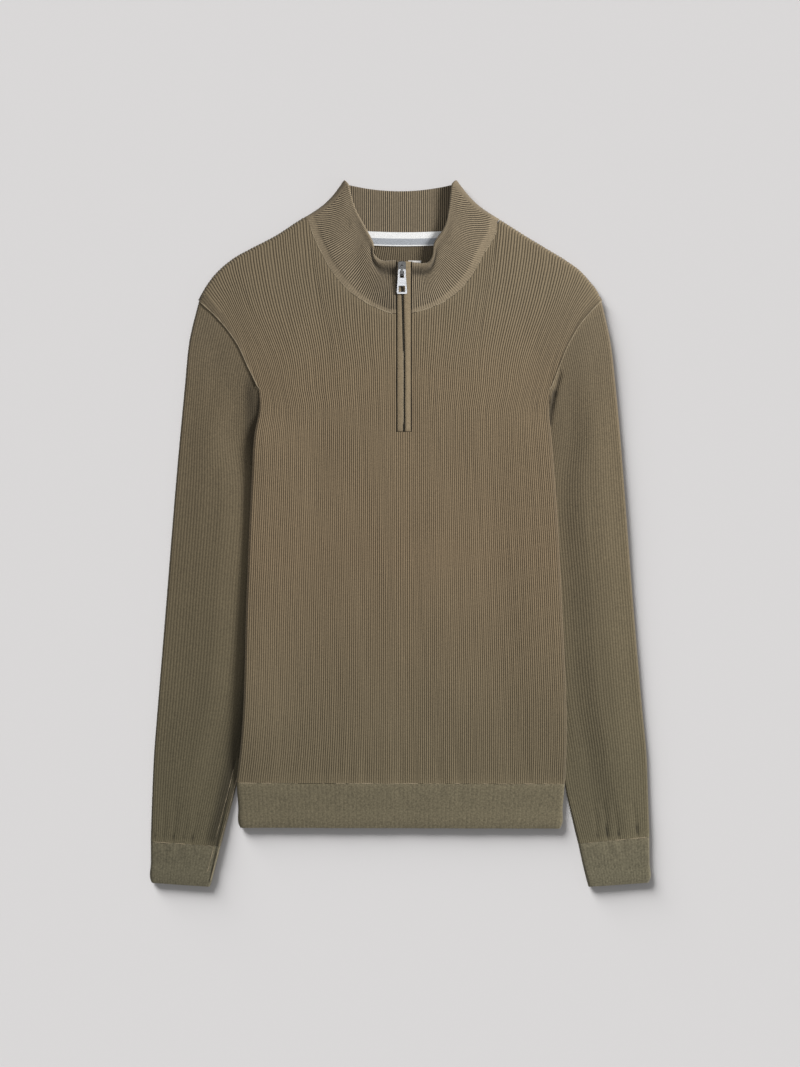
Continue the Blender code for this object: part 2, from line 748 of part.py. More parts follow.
def along(path, distance):
    """Point on a path of plan points, this far from its start."""
    for low, high in zip(path, path[1:]):
        length = (high - low).length
        if distance <= length or high is path[-1]:
            return low + (high - low) * (distance / length)
        distance -= length
    return path[-1]


def path_length(path):
    return sum((high - low).length for low, high in zip(path, path[1:]))


SLEEVE_TUBE = Tube(fold=10, top=70, under=4, wall=WALL, rib=RIB)
CUFF_TUBE = Tube(fold=6, top=10, under=4, wall=BAND_WALL, rib=0.0)
HEM_TUBE = Tube(fold=6, top=20, under=8, wall=BAND_WALL, rib=0.0)


def armhole_path(side_name):
    """The sleeve's first ring, from the shoulder's outline to the underarm."""
    sign = -1.0 if side_name == "left" else 1.0
    seam = [Vector((getattr(edge, side_name), edge.y)) for edge in reversed(ARMHOLE)]
    seam[0] = shoulder_fold(seam[0].x, 1.0)[0]
    last = seam[-1] - seam[-2]
    seam[-1] = seam[-1] - last.normalized() * UNDERARM_ROOM
    away = Vector((sign * ARMHOLE_AWAY[0], ARMHOLE_AWAY[1])) * SLEEVE_GAP
    return [point + away for point in seam]


def sleeve_ring(side_name, row):
    if row == 0:
        return armhole_path(side_name), CHEST_TOP, CHEST_TOP
    station = SLEEVE[row - 1]
    outer = Vector((getattr(station, "outer_" + side_name), station.outer_y))
    inner = Vector((getattr(station, "inner_" + side_name), station.inner_y))
    return [outer, inner], station.height, station.inner_height


def make_sleeve(side_name):
    rings = [sleeve_ring(side_name, row) for row in range(len(SLEEVE) + 1)]

    def point(side, row, column):
        path, height, inner_height = rings[row]

        def level(from_inner):
            return mix(inner_height, height, smooth((from_inner - INNER_FLAT) / INNER_RISE))

        distance, z = SLEEVE_TUBE.section(side, column, path_length(path), height, inner_height, level)
        plan = along(path, distance)
        return plan.x, plan.y, z

    SLEEVE_TUBE.make("sleeve_" + side_name, len(rings), point)


def make_cuff(side_name):
    def point(side, row, column):
        ring = CUFF[row]
        outer = Vector((getattr(ring, "outer_" + side_name), ring.outer_y))
        inner = Vector((getattr(ring, "inner_" + side_name), ring.inner_y))
        width = (inner - outer).length
        distance, z = CUFF_TUBE.section(side, column, width, ring.height, ring.height)
        plan = along([outer, inner], distance)
        return plan.x, plan.y, z + ring_lift(ring.height, CUFF[0].height)

    CUFF_TUBE.make("cuff_" + side_name, len(CUFF), point)


def ring_lift(height, full_height):
    """A narrowed end ring stays level with the middle of the others."""
    return (full_height - height) / 2


def make_hem():
    def point(side, row, column):
        ring = HEM[row]
        distance, z = HEM_TUBE.section(side, column, ring.right - ring.left, ring.height, ring.height)
        tilt = HEM_TILT * (distance / (ring.right - ring.left) - 0.5)
        return ring.left + distance, ring.y - tilt, z + ring_lift(ring.height, HEM[0].height)

    HEM_TUBE.make("hem_band", len(HEM), point)


# ---------------------------------------------------------------- collar

BACK_START = COLLAR_HALF + COLLAR_FOLD
BACK_STOP = BACK_START + COLLAR_BACK
RIGHT_START = BACK_STOP + COLLAR_FOLD
COLLAR_END = RIGHT_START + COLLAR_HALF


def collar_base_path(side_name):
    """The neckline from the zip to the shoulder."""
    start_x = SLIT_LEFT_X if side_name == "left" else SLIT_RIGHT_X
    path = [Vector((start_x, neckline_y(start_x)))]
    path += [Vector((getattr(edge, side_name), edge.y)) for edge in NECKLINE[:-1]]
    path.append(Vector(COLLAR_BASE_END[side_name]))
    return path


def collar_front(side_name, share, height):
    """Outer face of the collar's front half: share runs from the zip to the fold."""
    path = collar_base_path(side_name)
    base = along(path, share * path_length(path))
    table = COLLAR_TOP_LEFT if side_name == "left" else COLLAR_TOP_RIGHT
    top = Vector((lookup(table, "share", "x", share), lookup(table, "share", "y", share)))
    base = base + (top - base).normalized() * GAP
    plan = base.lerp(top, height)
    bow = math.sin(math.pi * height) * smooth((share - BOW_START) / (1.0 - BOW_START))
    plan -= fold_outward(side_name) * COLLAR_SIDE_BOW * bow
    z = mix(CHEST_TOP, lookup(table, "share", "z", share), height)
    return plan.x, plan.y, z


def fold_outward(side_name):
    sign = -1.0 if side_name == "left" else 1.0
    return Vector((sign * FOLD_OUTWARD[0], FOLD_OUTWARD[1]))


def collar_point(side, row, column):
    height = COLLAR_ROWS[row].height
    half = COLLAR_WALL / 2 * COLLAR_ROWS[row].thickness
    crest = RIB if column % 2 and COLLAR_ROWS[row].thickness >= 1.0 else 0.0
    left_side = column < (BACK_START + BACK_STOP) / 2
    name = "left" if left_side else "right"
    from_zip = column if left_side else COLLAR_END - column
    if from_zip <= COLLAR_HALF:
        x, y, z = collar_front(name, from_zip / COLLAR_HALF, height)
        middle = z - COLLAR_WALL / 2
        return x, y, middle + half + crest if side == 0 else middle - half
    x, y, top = collar_front(name, 1.0, height)
    radius = top / 2
    if from_zip <= BACK_START:
        angle = math.pi * (from_zip - COLLAR_HALF) / COLLAR_FOLD
        depth = COLLAR_WALL / 2 - half if side == 0 else COLLAR_WALL / 2 + half
        if side == 0 and angle < RIBBED_TURN * math.pi:
            depth -= crest
        reach = radius - depth
        out = fold_outward(name) * reach * math.sin(angle)
        return x + out.x, y + out.y, radius + reach * math.cos(angle)
    share = (column - BACK_START) / COLLAR_BACK
    left = Vector(collar_front("left", 1.0, height)[:2])
    right = Vector(collar_front("right", 1.0, height)[:2])
    across = mix(left.x, right.x, share)
    straight = mix(left.y, right.y, share)
    ends_y = mix(back_neck_y(left.x), back_top_y(left.x), height)
    sag = mix(back_neck_y(across), back_top_y(across), height) - ends_y
    z = COLLAR_WALL / 2 - half if side == 0 else COLLAR_WALL / 2 + half + crest
    return across, straight + sag, z


def back_top_y(x):
    """The upper edge of the collar at the back."""
    return BACK_TOP_Y + BACK_TOP_RISE * (x / BACK_TOP_HALF) ** 2


def collar_columns(side, row):
    front_left = range(0, COLLAR_HALF)
    back = range(BACK_START, BACK_STOP + 1)
    front_right = range(RIGHT_START + 1, COLLAR_END + 1)
    folds = list(range(COLLAR_HALF, BACK_START)) + list(range(BACK_STOP + 1, RIGHT_START + 1))
    if side == 0:
        return sorted([*front_left, *folds, *[c for c in back if c % 8 == 0], *front_right])
    step = 4 if row == 0 else 8
    plain_left = [c for c in front_left if c % step == 0]
    plain_right = [c for c in front_right if c % step == 0]
    plain_folds = [c for c in folds if c % 2 == 0]
    return sorted([*plain_left, *plain_folds, *back, *plain_right])


def make_collar():
    strips = [[(0, COLLAR_END)]] * (len(COLLAR_ROWS) - 1)
    Cloth("collar", strips, collar_columns, collar_point)


# ---------------------------------------------------------------- zip

def zip_top(y):
    """Level of the cloth beside the zip: the front, then the collar."""
    base_y = NECKLINE[0].y
    return mix(CHEST_TOP, COLLAR_TOP_LEFT[0].z, min(1.0, max(0.0, (y - base_y) / (ZIP_TOP_Y - base_y))))


def zip_x(y):
    """Middle of the slit, which leans a little."""
    high, low = ZIP_BEND_Y
    return mix(ZIP_X_LOW, ZIP_X_TOP, min(1.0, max(0.0, (y - low) / (high - low))))


ZIP_MIDDLE_ROWS = (160.0, ZIP_BEND_Y[1], NECKLINE[0].y, 270.0, ZIP_BEND_Y[0])
ZIP_ROWS = (SLIT_BOTTOM_Y + 0.4, *ZIP_MIDDLE_ROWS, ZIP_TOP_Y - 1.0, ZIP_TOP_Y)
BAND_STEPS = 6


def make_band(side_name):
    def point(side, row, column):
        y = ZIP_ROWS[row]
        end = BAND_END if row in (0, len(ZIP_ROWS) - 1) else 1.0
        low_x = SLIT_LEFT_X + GAP if side_name == "left" else zip_x(y) + BAND_GAP / 2
        high_x = zip_x(y) - BAND_GAP / 2 if side_name == "left" else SLIT_RIGHT_X - GAP
        angle = math.pi * column / BAND_STEPS
        x = mix(low_x, high_x, 0.5 - 0.5 * math.cos(angle))
        bottom = zip_top(y) + BAND_PROUD - BAND_HEIGHT
        if side == 1:
            return x, y, bottom
        return x, y, bottom + end * BAND_HEIGHT * mix(BAND_EDGE, 1.0, math.sin(angle))

    def columns(side, row):
        return [0, BAND_STEPS] if side else list(range(BAND_STEPS + 1))

    strips = [[(0, BAND_STEPS)]] * (len(ZIP_ROWS) - 1)
    Cloth("placket_" + side_name, strips, columns, point)


def make_zip_tape():
    def point(side, row, column):
        y = ZIP_ROWS[row]
        x = SLIT_RIGHT_X - GAP if column else SLIT_LEFT_X + GAP
        top = zip_top(y) + BAND_PROUD - BAND_HEIGHT - GAP
        return x, y, top - (ZIP_TAPE if side else 0.0)

    strips = [[(0, 1)]] * (len(ZIP_ROWS) - 1)
    Cloth("zip_tape", strips, lambda side, row: [0, 1], point)


def zip_slope():
    """Angle of the bands where the slider sits."""
    run = ZIP_TOP_Y - NECKLINE[0].y
    return math.atan2(COLLAR_TOP_LEFT[0].z - CHEST_TOP, run)


def pull_axis():
    """Middle of the pull's top bar, which turns in the bail."""
    level = zip_top(PULL_AXIS_Y) + BAND_PROUD + AXIS_HEIGHT
    return Vector((ZIP_X_TOP, PULL_AXIS_Y, level)) * MM


def prism(outline, low, high, upright=False):
    """A closed solid from an outline of (x, y) places and two z levels.

    An upright one has an outline of (y, z) places and two x levels.
    """
    bm = bmesh.new()
    rings = []
    for level in (low, high):
        places = [(level, *corner) if upright else (*corner, level) for corner in outline]
        rings.append([bm.verts.new(Vector(place) * MM) for place in places])
    bm.faces.new(rings[0])
    bm.faces.new(rings[1])
    for index in range(len(outline)):
        following = (index + 1) % len(outline)
        bm.faces.new((rings[0][index], rings[0][following], rings[1][following], rings[1][index]))
    return bm


def bevel(piece, width):
    edge_bevel = piece.modifiers.new("Bevel", "BEVEL")
    edge_bevel.width = width * MM
    edge_bevel.segments = 1
    edge_bevel.limit_method = "ANGLE"
    edge_bevel.angle_limit = math.radians(50.0)


def slider_outline():
    """The slider's body from above: narrow at its lower end, cut at its upper corners."""
    half = SLIDER_WIDTH / 2
    left = [(-half + SLIDER_TAPER, SLIDER_LOW), (-half, SLIDER_LOW + SLIDER_FLARE)]
    left += [(-half, SLIDER_HIGH - SLIDER_CORNER), (-half + SLIDER_CORNER, SLIDER_HIGH)]
    return left + [(-x, y) for x, y in reversed(left)]


def bail_outline(foot):
    """The bail from the side: a flat-topped arch whose legs start at this level."""
    outer = [(BAIL_REACH, foot), (BAIL_REACH, BAIL_TOP - BAIL_CORNER), (BAIL_REACH - BAIL_CORNER, BAIL_TOP)]
    reach = BAIL_REACH - BAIL_BAR
    top = BAIL_TOP - BAIL_BAR
    corner = BAIL_CORNER / 2
    inner = [(reach, foot), (reach, top - corner), (reach - corner, top)]
    left_outer = [(-y, z) for y, z in outer]
    right_inner = list(reversed(inner))
    left_inner = [(-y, z) for y, z in inner]
    return outer + list(reversed(left_outer)) + left_inner + right_inner


def make_slider():
    """The slider's body with the bail that holds the pull's top bar."""
    floor = GAP - AXIS_HEIGHT
    slider = finish("zip_slider", prism(slider_outline(), floor, floor + SLIDER_THICK))
    place_at_axis(slider, zip_slope())
    bevel(slider, METAL_EDGE)
    arch = bail_outline(floor + SLIDER_THICK / 2)
    bail = finish("bail_guide", prism(arch, -BAIL_WIDTH / 2, BAIL_WIDTH / 2, upright=True))
    place_at_axis(bail, zip_slope())
    bail.hide_render = True
    bail.display_type = "WIRE"
    union = slider.modifiers.new("Bail", "BOOLEAN")
    union.operation = "UNION"
    union.solver = "EXACT"
    union.object = bail


def place_at_axis(piece, tilt):
    piece.location = pull_axis()
    piece.rotation_euler = (tilt, 0.0, 0.0)


PullRow = namedtuple("PullRow", "reach half_width half_hole")
PULL_ROWS = (
    PullRow(-1.1, 3.6, 2.2),
    PullRow(1.1, 4.4, 2.2),
    PullRow(8.6, 4.7, 2.2),
    PullRow(10.2, 4.8, 2.4),
    PullRow(17.8, 5.4, 3.4),
    PullRow(24.4, 5.9, 3.4),
    PullRow(26.7, 5.5, 3.0),
)


def make_pull():
    """The pull tab: a plate with a slot for the bail and a window near its end."""
    def point(side, row, column):
        size = PULL_ROWS[row]
        x = (-size.half_width, -size.half_hole, size.half_hole, size.half_width)[column]
        return x, -size.reach, -PULL_THICK / 2 if side else PULL_THICK / 2

    whole = [(0, 3)]
    rails = [(0, 1), (2, 3)]
    strips = [whole, rails, whole, whole, rails, whole]
    Cloth("zip_pull", strips, lambda side, row: [0, 1, 2, 3], point)
    pull = bpy.data.objects["zip_pull"]
    place_at_axis(pull, zip_slope() + math.radians(PULL_DROOP))
    bevel(pull, METAL_EDGE)


# ---------------------------------------------------------------- neck

def make_neck_tape():
    def point(side, row, column):
        share = 2.0 * column / TAPE_STEPS - 1.0
        x = TAPE_MIDDLE_X + TAPE_HALF_WIDTH * share
        y = TAPE_LOW_Y + TAPE_HEIGHT * row + TAPE_RISE * share * share
        return x, y, TAPE_Z + (TAPE_THICK if side == 0 else 0.0)

    Cloth("neck_tape", [[(0, TAPE_STEPS)]], lambda side, row: list(range(TAPE_STEPS + 1)), point)


def make_neck_label():
    width, length = LABEL_SIZE
    middle, top = LABEL_TOP
    low = BACK_MIDDLE + RIB + GAP

    def point(side, row, column):
        x = middle + width * (column - 0.5)
        y = top - length * (1 - row)
        return x, y, low + (LABEL_THICK if side == 0 else 0.0)

    Cloth("neck_label", [[(0, 1)]], lambda side, row: [0, 1], point)


def clear_scene():
    for thing in list(bpy.data.objects):
        bpy.data.objects.remove(thing, do_unlink=True)


def main():
    clear_scene()
    make_front()
    make_back()
    for side_name in ("left", "right"):
        make_sleeve(side_name)
        make_cuff(side_name)
        make_band(side_name)
    make_hem()
    make_collar()
    make_zip_tape()
    make_slider()
    make_pull()
    make_neck_tape()
    make_neck_label()


main()
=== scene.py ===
"""Quarter zip sweater in fine rib knit, laid flat: knit, seams, zip and studio.

Tables are in millimetres, in the frame of the part: X across, Y to the neck and
Z up from the surface. Columns are counted in half ribs: odd ones are crests.
Left and right are as seen from above with the neck at the top.
"""
import json
import math
from collections import namedtuple

import bmesh
import bpy
import numpy as np
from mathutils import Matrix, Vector

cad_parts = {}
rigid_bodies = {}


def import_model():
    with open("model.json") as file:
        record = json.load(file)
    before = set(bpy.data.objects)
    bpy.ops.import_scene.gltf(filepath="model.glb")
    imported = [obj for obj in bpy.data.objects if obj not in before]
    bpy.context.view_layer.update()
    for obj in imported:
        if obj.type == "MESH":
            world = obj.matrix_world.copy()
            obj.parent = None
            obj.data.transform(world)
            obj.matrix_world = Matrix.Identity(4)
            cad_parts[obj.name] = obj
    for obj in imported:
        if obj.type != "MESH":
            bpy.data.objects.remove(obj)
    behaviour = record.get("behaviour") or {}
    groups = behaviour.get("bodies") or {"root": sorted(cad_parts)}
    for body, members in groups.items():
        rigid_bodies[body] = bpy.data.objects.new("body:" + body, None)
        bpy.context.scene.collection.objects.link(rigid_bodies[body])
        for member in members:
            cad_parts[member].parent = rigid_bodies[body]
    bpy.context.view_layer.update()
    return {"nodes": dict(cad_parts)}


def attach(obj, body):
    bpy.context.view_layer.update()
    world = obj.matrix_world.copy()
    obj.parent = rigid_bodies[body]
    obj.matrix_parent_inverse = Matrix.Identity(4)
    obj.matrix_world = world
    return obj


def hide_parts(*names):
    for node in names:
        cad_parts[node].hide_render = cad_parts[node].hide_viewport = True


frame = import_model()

MM = 0.001
BODY = "sweater"

# ------------------------------------------------------------ laid-out sizes
GAP = 0.3            # space left at a seam
WALL = 1.6           # knitted wall under its ribs
RIB = 0.62           # how far a rib of the body stands up
SLEEVE_RIB = 0.26
COLLAR_RIB = 0.8
BAND_WALL = 1.8      # plain knit of hem band and cuffs
COLLAR_WALL = 3.0    # doubled rib of the collar
RIB_WIDTH = 2.4      # of ribs that don't show

CHEST_TOP = 7.4      # outer face of the front in the middle
BACK_MIDDLE = 2.5    # inner face of the back in the middle
FOLD_TOP = 7.0       # height of a side that is turned under
SLEEVE_TUCK = 4.3    # room under a turned side for the sleeve's inner edge
TUCKED_EDGE = 3.5    # height of the sleeve's inner edge in that room
TUCK_WIDTH = 22.0    # width of that room
TUCK_FALL = 30.0     # the side comes down to the surface over this width

UNDERARM_Y = 160.0
SLIT_BOTTOM_Y = 112.7
TUCK_LOW_Y = -246.0
SIDE_RETURN = (20.0, 32.0, 42.0, 52.0, 80.0)  # columns of the part turned under
EDGE_BLEND = 70.0    # width over which a side's height falls to the middle's

Edge = namedtuple("Edge", "y left right")
BODY_EDGE = (
    Edge(-277.4, -182.0, 183.0),
    Edge(-246.0, -177.9, 183.9),
    Edge(-60.0, -169.8, 178.2),
    Edge(60.0, -164.4, 171.2),
    Edge(112.7, -160.9, 166.8),
    Edge(138.0, -156.2, 164.6),
    Edge(160.0, -156.8, 166.8),
)
ARMHOLE = (
    Edge(160.0, -156.8, 166.8),
    Edge(184.0, -168.6, 175.9),
    Edge(214.0, -183.2, 188.8),
    Edge(239.0, -202.8, 204.8),
    Edge(255.6, -220.3, 220.3),
)
NECKLINE = (
    Edge(244.2, -10.8, 12.6),
    Edge(251.2, -28.4, 35.3),
    Edge(263.6, -49.7, 58.2),
    Edge(279.5, -67.0, 74.7),
    Edge(310.5, -87.2, 93.2),
    Edge(332.7, -97.5, 106.0),
    Edge(350.0, -103.4, 108.6),
)
Shoulder = namedtuple("Shoulder", "out left_y right_y")
SHOULDER = (
    Shoulder(100.0, 354.8, 354.2),
    Shoulder(113.0, 347.1, 346.8),
    Shoulder(138.0, 330.7, 331.0),
    Shoulder(164.0, 317.2, 315.3),
    Shoulder(186.0, 304.8, 301.8),
    Shoulder(199.0, 294.3, 292.3),
    Shoulder(211.0, 281.0, 279.0),
    Shoulder(220.0, 266.0, 266.5),
    Shoulder(223.2, 258.0, 258.0),
    Shoulder(226.0, 250.0, 250.0),
)
SHOULDER_RADIUS = 3.6
SHOULDER_LEAN = (0.5, 0.76)  # sideways lean of its fold, at the neck and at the arm
HEM_TILT = 1.0       # the hem seam lies this much lower at the right side

# Columns of the front, from the left armhole to the right
SLIT_LEFT = 138
SLIT_RIGHT = 152
LAST = 296
NECK_LEFT = 73
NECK_RIGHT = 218
FOLD = 10            # columns of a side's fold
RETURN_END = FOLD + len(SIDE_RETURN)
SLIT_LEFT_X = -4.7
SLIT_RIGHT_X = 12.5

# Ribs that start along the armhole, in half ribs, at shares of the yoke's height
YOKE_EXTRA = {
    "left": ((0.0, 0.0), (0.25, 6.3), (0.565, 10.5), (0.826, 16.2), (1.0, 18.0)),
    "right": ((0.0, 0.0), (0.25, 3.6), (0.565, 5.9), (0.826, 8.3), (1.0, 9.0)),
}
EXTRA = {"left": 18.0, "right": 9.0}
EXTRA_KEY = 0.02     # the columns of those ribs stand this close together
EXTRA_END = 0.4      # and all within this distance of the armhole's column
FIRST_EXTRA = -EXTRA_KEY * EXTRA["left"]
LAST_EXTRA = LAST + EXTRA_KEY * EXTRA["right"]
# Where half ribs, counted from the slit, end on the neckline and the shoulder
YOKE_TOP = {
    "left": ((0, -4.7), (17.1, -28.4), (32.3, -49.7), (43.6, -67.0), (55.3, -87.4), (60.4, -96.0),
             (65, -103.4), (70.7, -112.8), (87.8, -136.1), (104.4, -161.9), (119.2, -183.6),
             (128.8, -196.4), (139.1, -208.3), (149.6, -217.3), (156, -220.3)),
    "right": ((0, 12.5), (16.4, 35.3), (32.7, 58.2), (43.9, 74.7), (54.9, 92.6), (60.8, 101.4),
              (66, 108.6), (84, 136.1), (101.6, 161.9), (116, 183.6), (125.6, 196.4),
              (136.6, 208.3), (146.4, 217.3), (153, 220.3)),
}

Station = namedtuple("Station", "outer_y outer_left outer_right inner_y inner_left inner_right "
                                "height inner_height")
SLEEVE = (
    Station(214.0, -233.9, 233.2, 147.0, -155.4, 165.4, 7.6, 7.0),
    Station(166.0, -238.8, 238.9, 129.0, -154.8, 163.2, 7.8, 5.2),
    Station(118.0, -243.4, 243.4, 110.0, -155.0, 161.0, 7.8, TUCKED_EDGE),
    Station(58.0, -248.8, 248.2, 56.0, -144.5, 151.4, 7.8, TUCKED_EDGE),
    Station(-62.0, -258.5, 257.4, -62.0, -149.8, 158.2, 7.6, TUCKED_EDGE),
    Station(-190.0, -268.9, 268.2, -190.0, -160.4, 168.6, 7.4, TUCKED_EDGE),
    Station(-250.0, -273.6, 273.8, -244.0, -173.8, 178.6, 7.2, 3.0),
    Station(-284.0, -275.1, 275.0, -281.0, -182.4, 183.8, 7.0, 3.8),
    Station(-342.0, -277.1, 276.9, -347.5, -199.6, 197.8, 6.8, 6.6),
)
ARMHOLE_GAP = (0.36, -0.27)  # from the front's edge out to the sleeve's first ring
UNDERARM_ROOM = 0.3  # that ring ends this far above the underarm
UNDERARM_TUCK = 1.3  # and there goes this far under the front
UNDERARM_LAP = 3.2   # and then this much further
INNER_FLAT = 26.0    # width of a sleeve's low inner part
INNER_RISE = 30.0    # width over which it rises to the full height
SLEEVE_DROP = 1.6    # how much lower a sleeve is at its outer edge
SLEEVE_ROUND = 36.0  # width of that fall
# How much higher the cuff's seam lies than in the table, at the outer and the inner edge
CUFF_LIFT = {"left": (0.0, 0.0), "right": (5.2, 3.0)}

Cuff = namedtuple("Cuff", "outer_y outer_left outer_right inner_y inner_left inner_right height")
CUFF = (
    Cuff(-342.4, -277.1, 276.9, -347.9, -199.7, 197.9, 6.8),
    Cuff(-365.0, -277.1, 277.1, -370.0, -205.2, 203.4, 6.8),
    Cuff(-386.2, -276.9, 277.0, -390.6, -210.9, 208.7, 6.6),
    Cuff(-387.9, -276.1, 275.9, -392.3, -211.6, 209.2, 5.4),
)
Hem = namedtuple("Hem", "y left right height")
HEM = (
    Hem(-277.8, -182.1, 183.0, 7.2),
    Hem(-304.0, -180.0, 180.7, 7.2),
    Hem(-325.4, -178.6, 178.9, 7.0),
    Hem(-327.2, -177.6, 177.9, 5.6),
)

RingPoint = namedtuple("RingPoint", "share x y z")
COLLAR_TOP_LEFT = (
    RingPoint(0.00, -5.0, 302.6, 12.4),
    RingPoint(0.14, -21.6, 303.0, 12.8),
    RingPoint(0.24, -29.0, 309.6, 13.0),
    RingPoint(0.33, -29.8, 319.6, 13.2),
    RingPoint(0.50, -37.5, 336.5, 13.4),
    RingPoint(0.76, -50.6, 362.5, 13.8),
    RingPoint(1.00, -57.4, 387.6, 14.0),
)
COLLAR_TOP_RIGHT = (
    RingPoint(0.00, 12.9, 300.6, 12.2),
    RingPoint(0.16, 31.6, 301.0, 12.6),
    RingPoint(0.25, 36.4, 309.0, 12.8),
    RingPoint(0.34, 38.0, 320.6, 13.0),
    RingPoint(0.48, 47.5, 335.8, 13.2),
    RingPoint(0.74, 53.6, 358.0, 13.6),
    RingPoint(1.00, 57.6, 387.6, 14.0),
)
COLLAR_BASE_END = {"left": (-103.5, 348.6), "right": (108.3, 346.2)}
# Columns of the collar: a front half, its fold and the back
COLLAR_HALF = 112
COLLAR_FOLD = 8
COLLAR_BACK = 96
BACK_START = COLLAR_HALF + COLLAR_FOLD
BACK_STOP = BACK_START + COLLAR_BACK
RIGHT_START = BACK_STOP + COLLAR_FOLD
COLLAR_END = RIGHT_START + COLLAR_HALF
FOLD_OUTWARD = (0.66, 0.75)  # the way that the right fold points
COLLAR_SIDE_BOW = 4.5  # how far its outline curves in
BOW_START = 0.6
# The back neckline and the collar's top edge at the back: middle and rise at the ends
BACK_NECK_Y = 325.8
BACK_NECK_RISE = 22.0
NECK_MIDDLE_X = 3.0
NECK_HALF = 105.8
BACK_TOP_Y = 380.6
BACK_TOP_RISE = 7.0
BACK_TOP_HALF = 57.5

ZIP_TOP_Y = 301.6
ZIP_X_TOP = 1.9
ZIP_X_LOW = 4.2
ZIP_BEND_Y = (290.0, 200.0)
BAND_GAP = {"left": 1.3, "right": 1.1}       # from the teeth to a zip band
BAND_SIDE_GAP = {"left": 1.3, "right": 0.8}  # from a zip band to the front
BAND_HEIGHT = 2.5
BAND_PROUD = 0.9     # how far a band stands over the front

# Soft creases: from one point to another, with their half width and height
Crease = namedtuple("Crease", "x0 y0 x1 y1 width height")
BODY_CREASES = (
    Crease(-58, -276, -54, -244, 4.5, -0.55),
    Crease(-39, -277, -40, -250, 4.0, -0.50),
    Crease(0, -278, 1, -246, 4.5, -0.60),
    Crease(44, -277, 41, -252, 4.5, -0.55),
    Crease(66, -276, 62, -240, 5.0, -0.50),
    Crease(-17, -277, -18, -215, 6.0, 0.35),
    Crease(24, -278, 24, -222, 6.0, 0.40),
    Crease(-78, -278, -78, -255, 6.0, 0.35),
    Crease(112, -277, 110, -246, 7.0, 0.35),
    Crease(-125, -276, -118, -236, 7.0, -0.35),
    Crease(140, -276, 134, -232, 7.0, -0.35),
    Crease(-94, 95, -96, 25, 11.0, -0.40),
    Crease(-95, -90, -92, -135, 12.0, -0.35),
    Crease(95, 10, 96, -70, 12.0, -0.35),
    Crease(118, -40, 128, -130, 12.0, -0.30),
    Crease(-60, -60, -52, -170, 14.0, 0.30),
    Crease(48, -80, 60, -190, 14.0, 0.30),
    Crease(-140, 205, -120, 250, 12.0, -0.45),
    Crease(150, 200, 128, 246, 12.0, -0.45),
    Crease(-118, 180, -96, 150, 12.0, -0.25),
)
SLEEVE_CREASES = (
    Crease(-205, 205, -209, 130, 9.0, -0.60),
    Crease(-214, 100, -222, 10, 12.0, 0.40),
    Crease(-228, -20, -236, -120, 10.0, -0.35),
    Crease(-212, -150, -224, -250, 12.0, 0.35),
    Crease(-263, -338, -262, -312, 3.2, -0.45),
    Crease(-252, -340, -249, -300, 3.5, -0.55),
    Crease(-241, -341, -238, -316, 3.0, -0.45),
    Crease(-230, -342, -226, -308, 3.5, -0.50),
    Crease(-216, -343, -214, -322, 3.0, -0.40),
    Crease(214, 196, 212, 120, 9.0, -0.50),
    Crease(222, 80, 228, -30, 11.0, 0.45),
    Crease(203, -20, 212, -130, 10.0, -0.45),
    Crease(236, -120, 246, -230, 12.0, 0.40),
    Crease(219, -340, 216, -310, 3.0, -0.50),
    Crease(230, -338, 226, -300, 3.4, -0.65),
    Crease(242, -337, 238, -304, 3.2, -0.60),
    Crease(263, -336, 258, -300, 3.4, -0.60),
    Crease(252, -337, 250, -318, 3.0, 0.35),
    Crease(177.4, 178, 167.5, 138, 2.6, -1.60),
    Crease(-160, 164, -158, 140, 3.5, -0.90),
)
# Narrow lines on the sleeves and cuffs, dented and painted dark as shade: pleats at the cuff seams,
# the left sleeve's seam and the fold below the right arm
PAINTED_SHADE_LINES = (
    Crease(-272.3, -334.0, -272.6, -337.5, 1.2, 0.55),
    Crease(-251.6, -333.0, -251.8, -339.5, 1.4, 0.80),
    Crease(-230.6, -336.0, -230.9, -342.0, 1.5, 0.85),
    Crease(-262.5, -336.0, -262.6, -338.5, 1.4, 0.35),
    Crease(-241.0, -337.5, -241.0, -340.5, 1.4, 0.35),
    Crease(218.8, -334.0, 219.2, -339.0, 1.5, 0.55),
    Crease(229.2, -329.0, 230.6, -338.5, 1.6, 0.95),
    Crease(242.0, -329.0, 242.5, -336.5, 1.3, 0.90),
    Crease(262.2, -324.0, 264.0, -335.0, 1.8, 0.80),
    Crease(-183.4, -250.0, -202.5, -341.0, 1.0, 0.95),
    Crease(-202.5, -341.0, -212.2, -388.0, 1.0, 1.10),
    Crease(176.8, 174.0, 170.8, 152.0, 1.9, 0.50),
    Crease(171.4, 156.0, 165.6, 121.0, 3.0, 0.80),
)
# The rubbed seam allowance inside the left sleeve's seam
PALE_LINES = (
    Crease(-181.5, -252.0, -200.2, -341.0, 2.6, 0.40),
    Crease(-200.2, -341.0, -209.4, -388.0, 2.6, 0.40),
)
BAND_CREASES = (
    Crease(-262, -345, -262, -352, 3.0, -0.50),
    Crease(-246, -346, -246, -355, 3.5, -0.50),
    Crease(-231, -348, -231, -354, 3.0, -0.45),
    Crease(231, -346, 231, -353, 3.0, -0.50),
    Crease(247, -344, 247, -354, 3.5, -0.55),
    Crease(262, -343, 262, -350, 3.0, -0.45),
    Crease(-58, -283, -59, -292, 4.5, -0.40),
    Crease(0, -283, 0, -293, 4.5, -0.45),
    Crease(44, -283, 45, -291, 4.5, -0.40),
    Crease(66, -283, 67, -292, 5.0, -0.35),
)


# ------------------------------------------------------------ small helpers
def sign_of(side_name):
    return -1.0 if side_name == "left" else 1.0


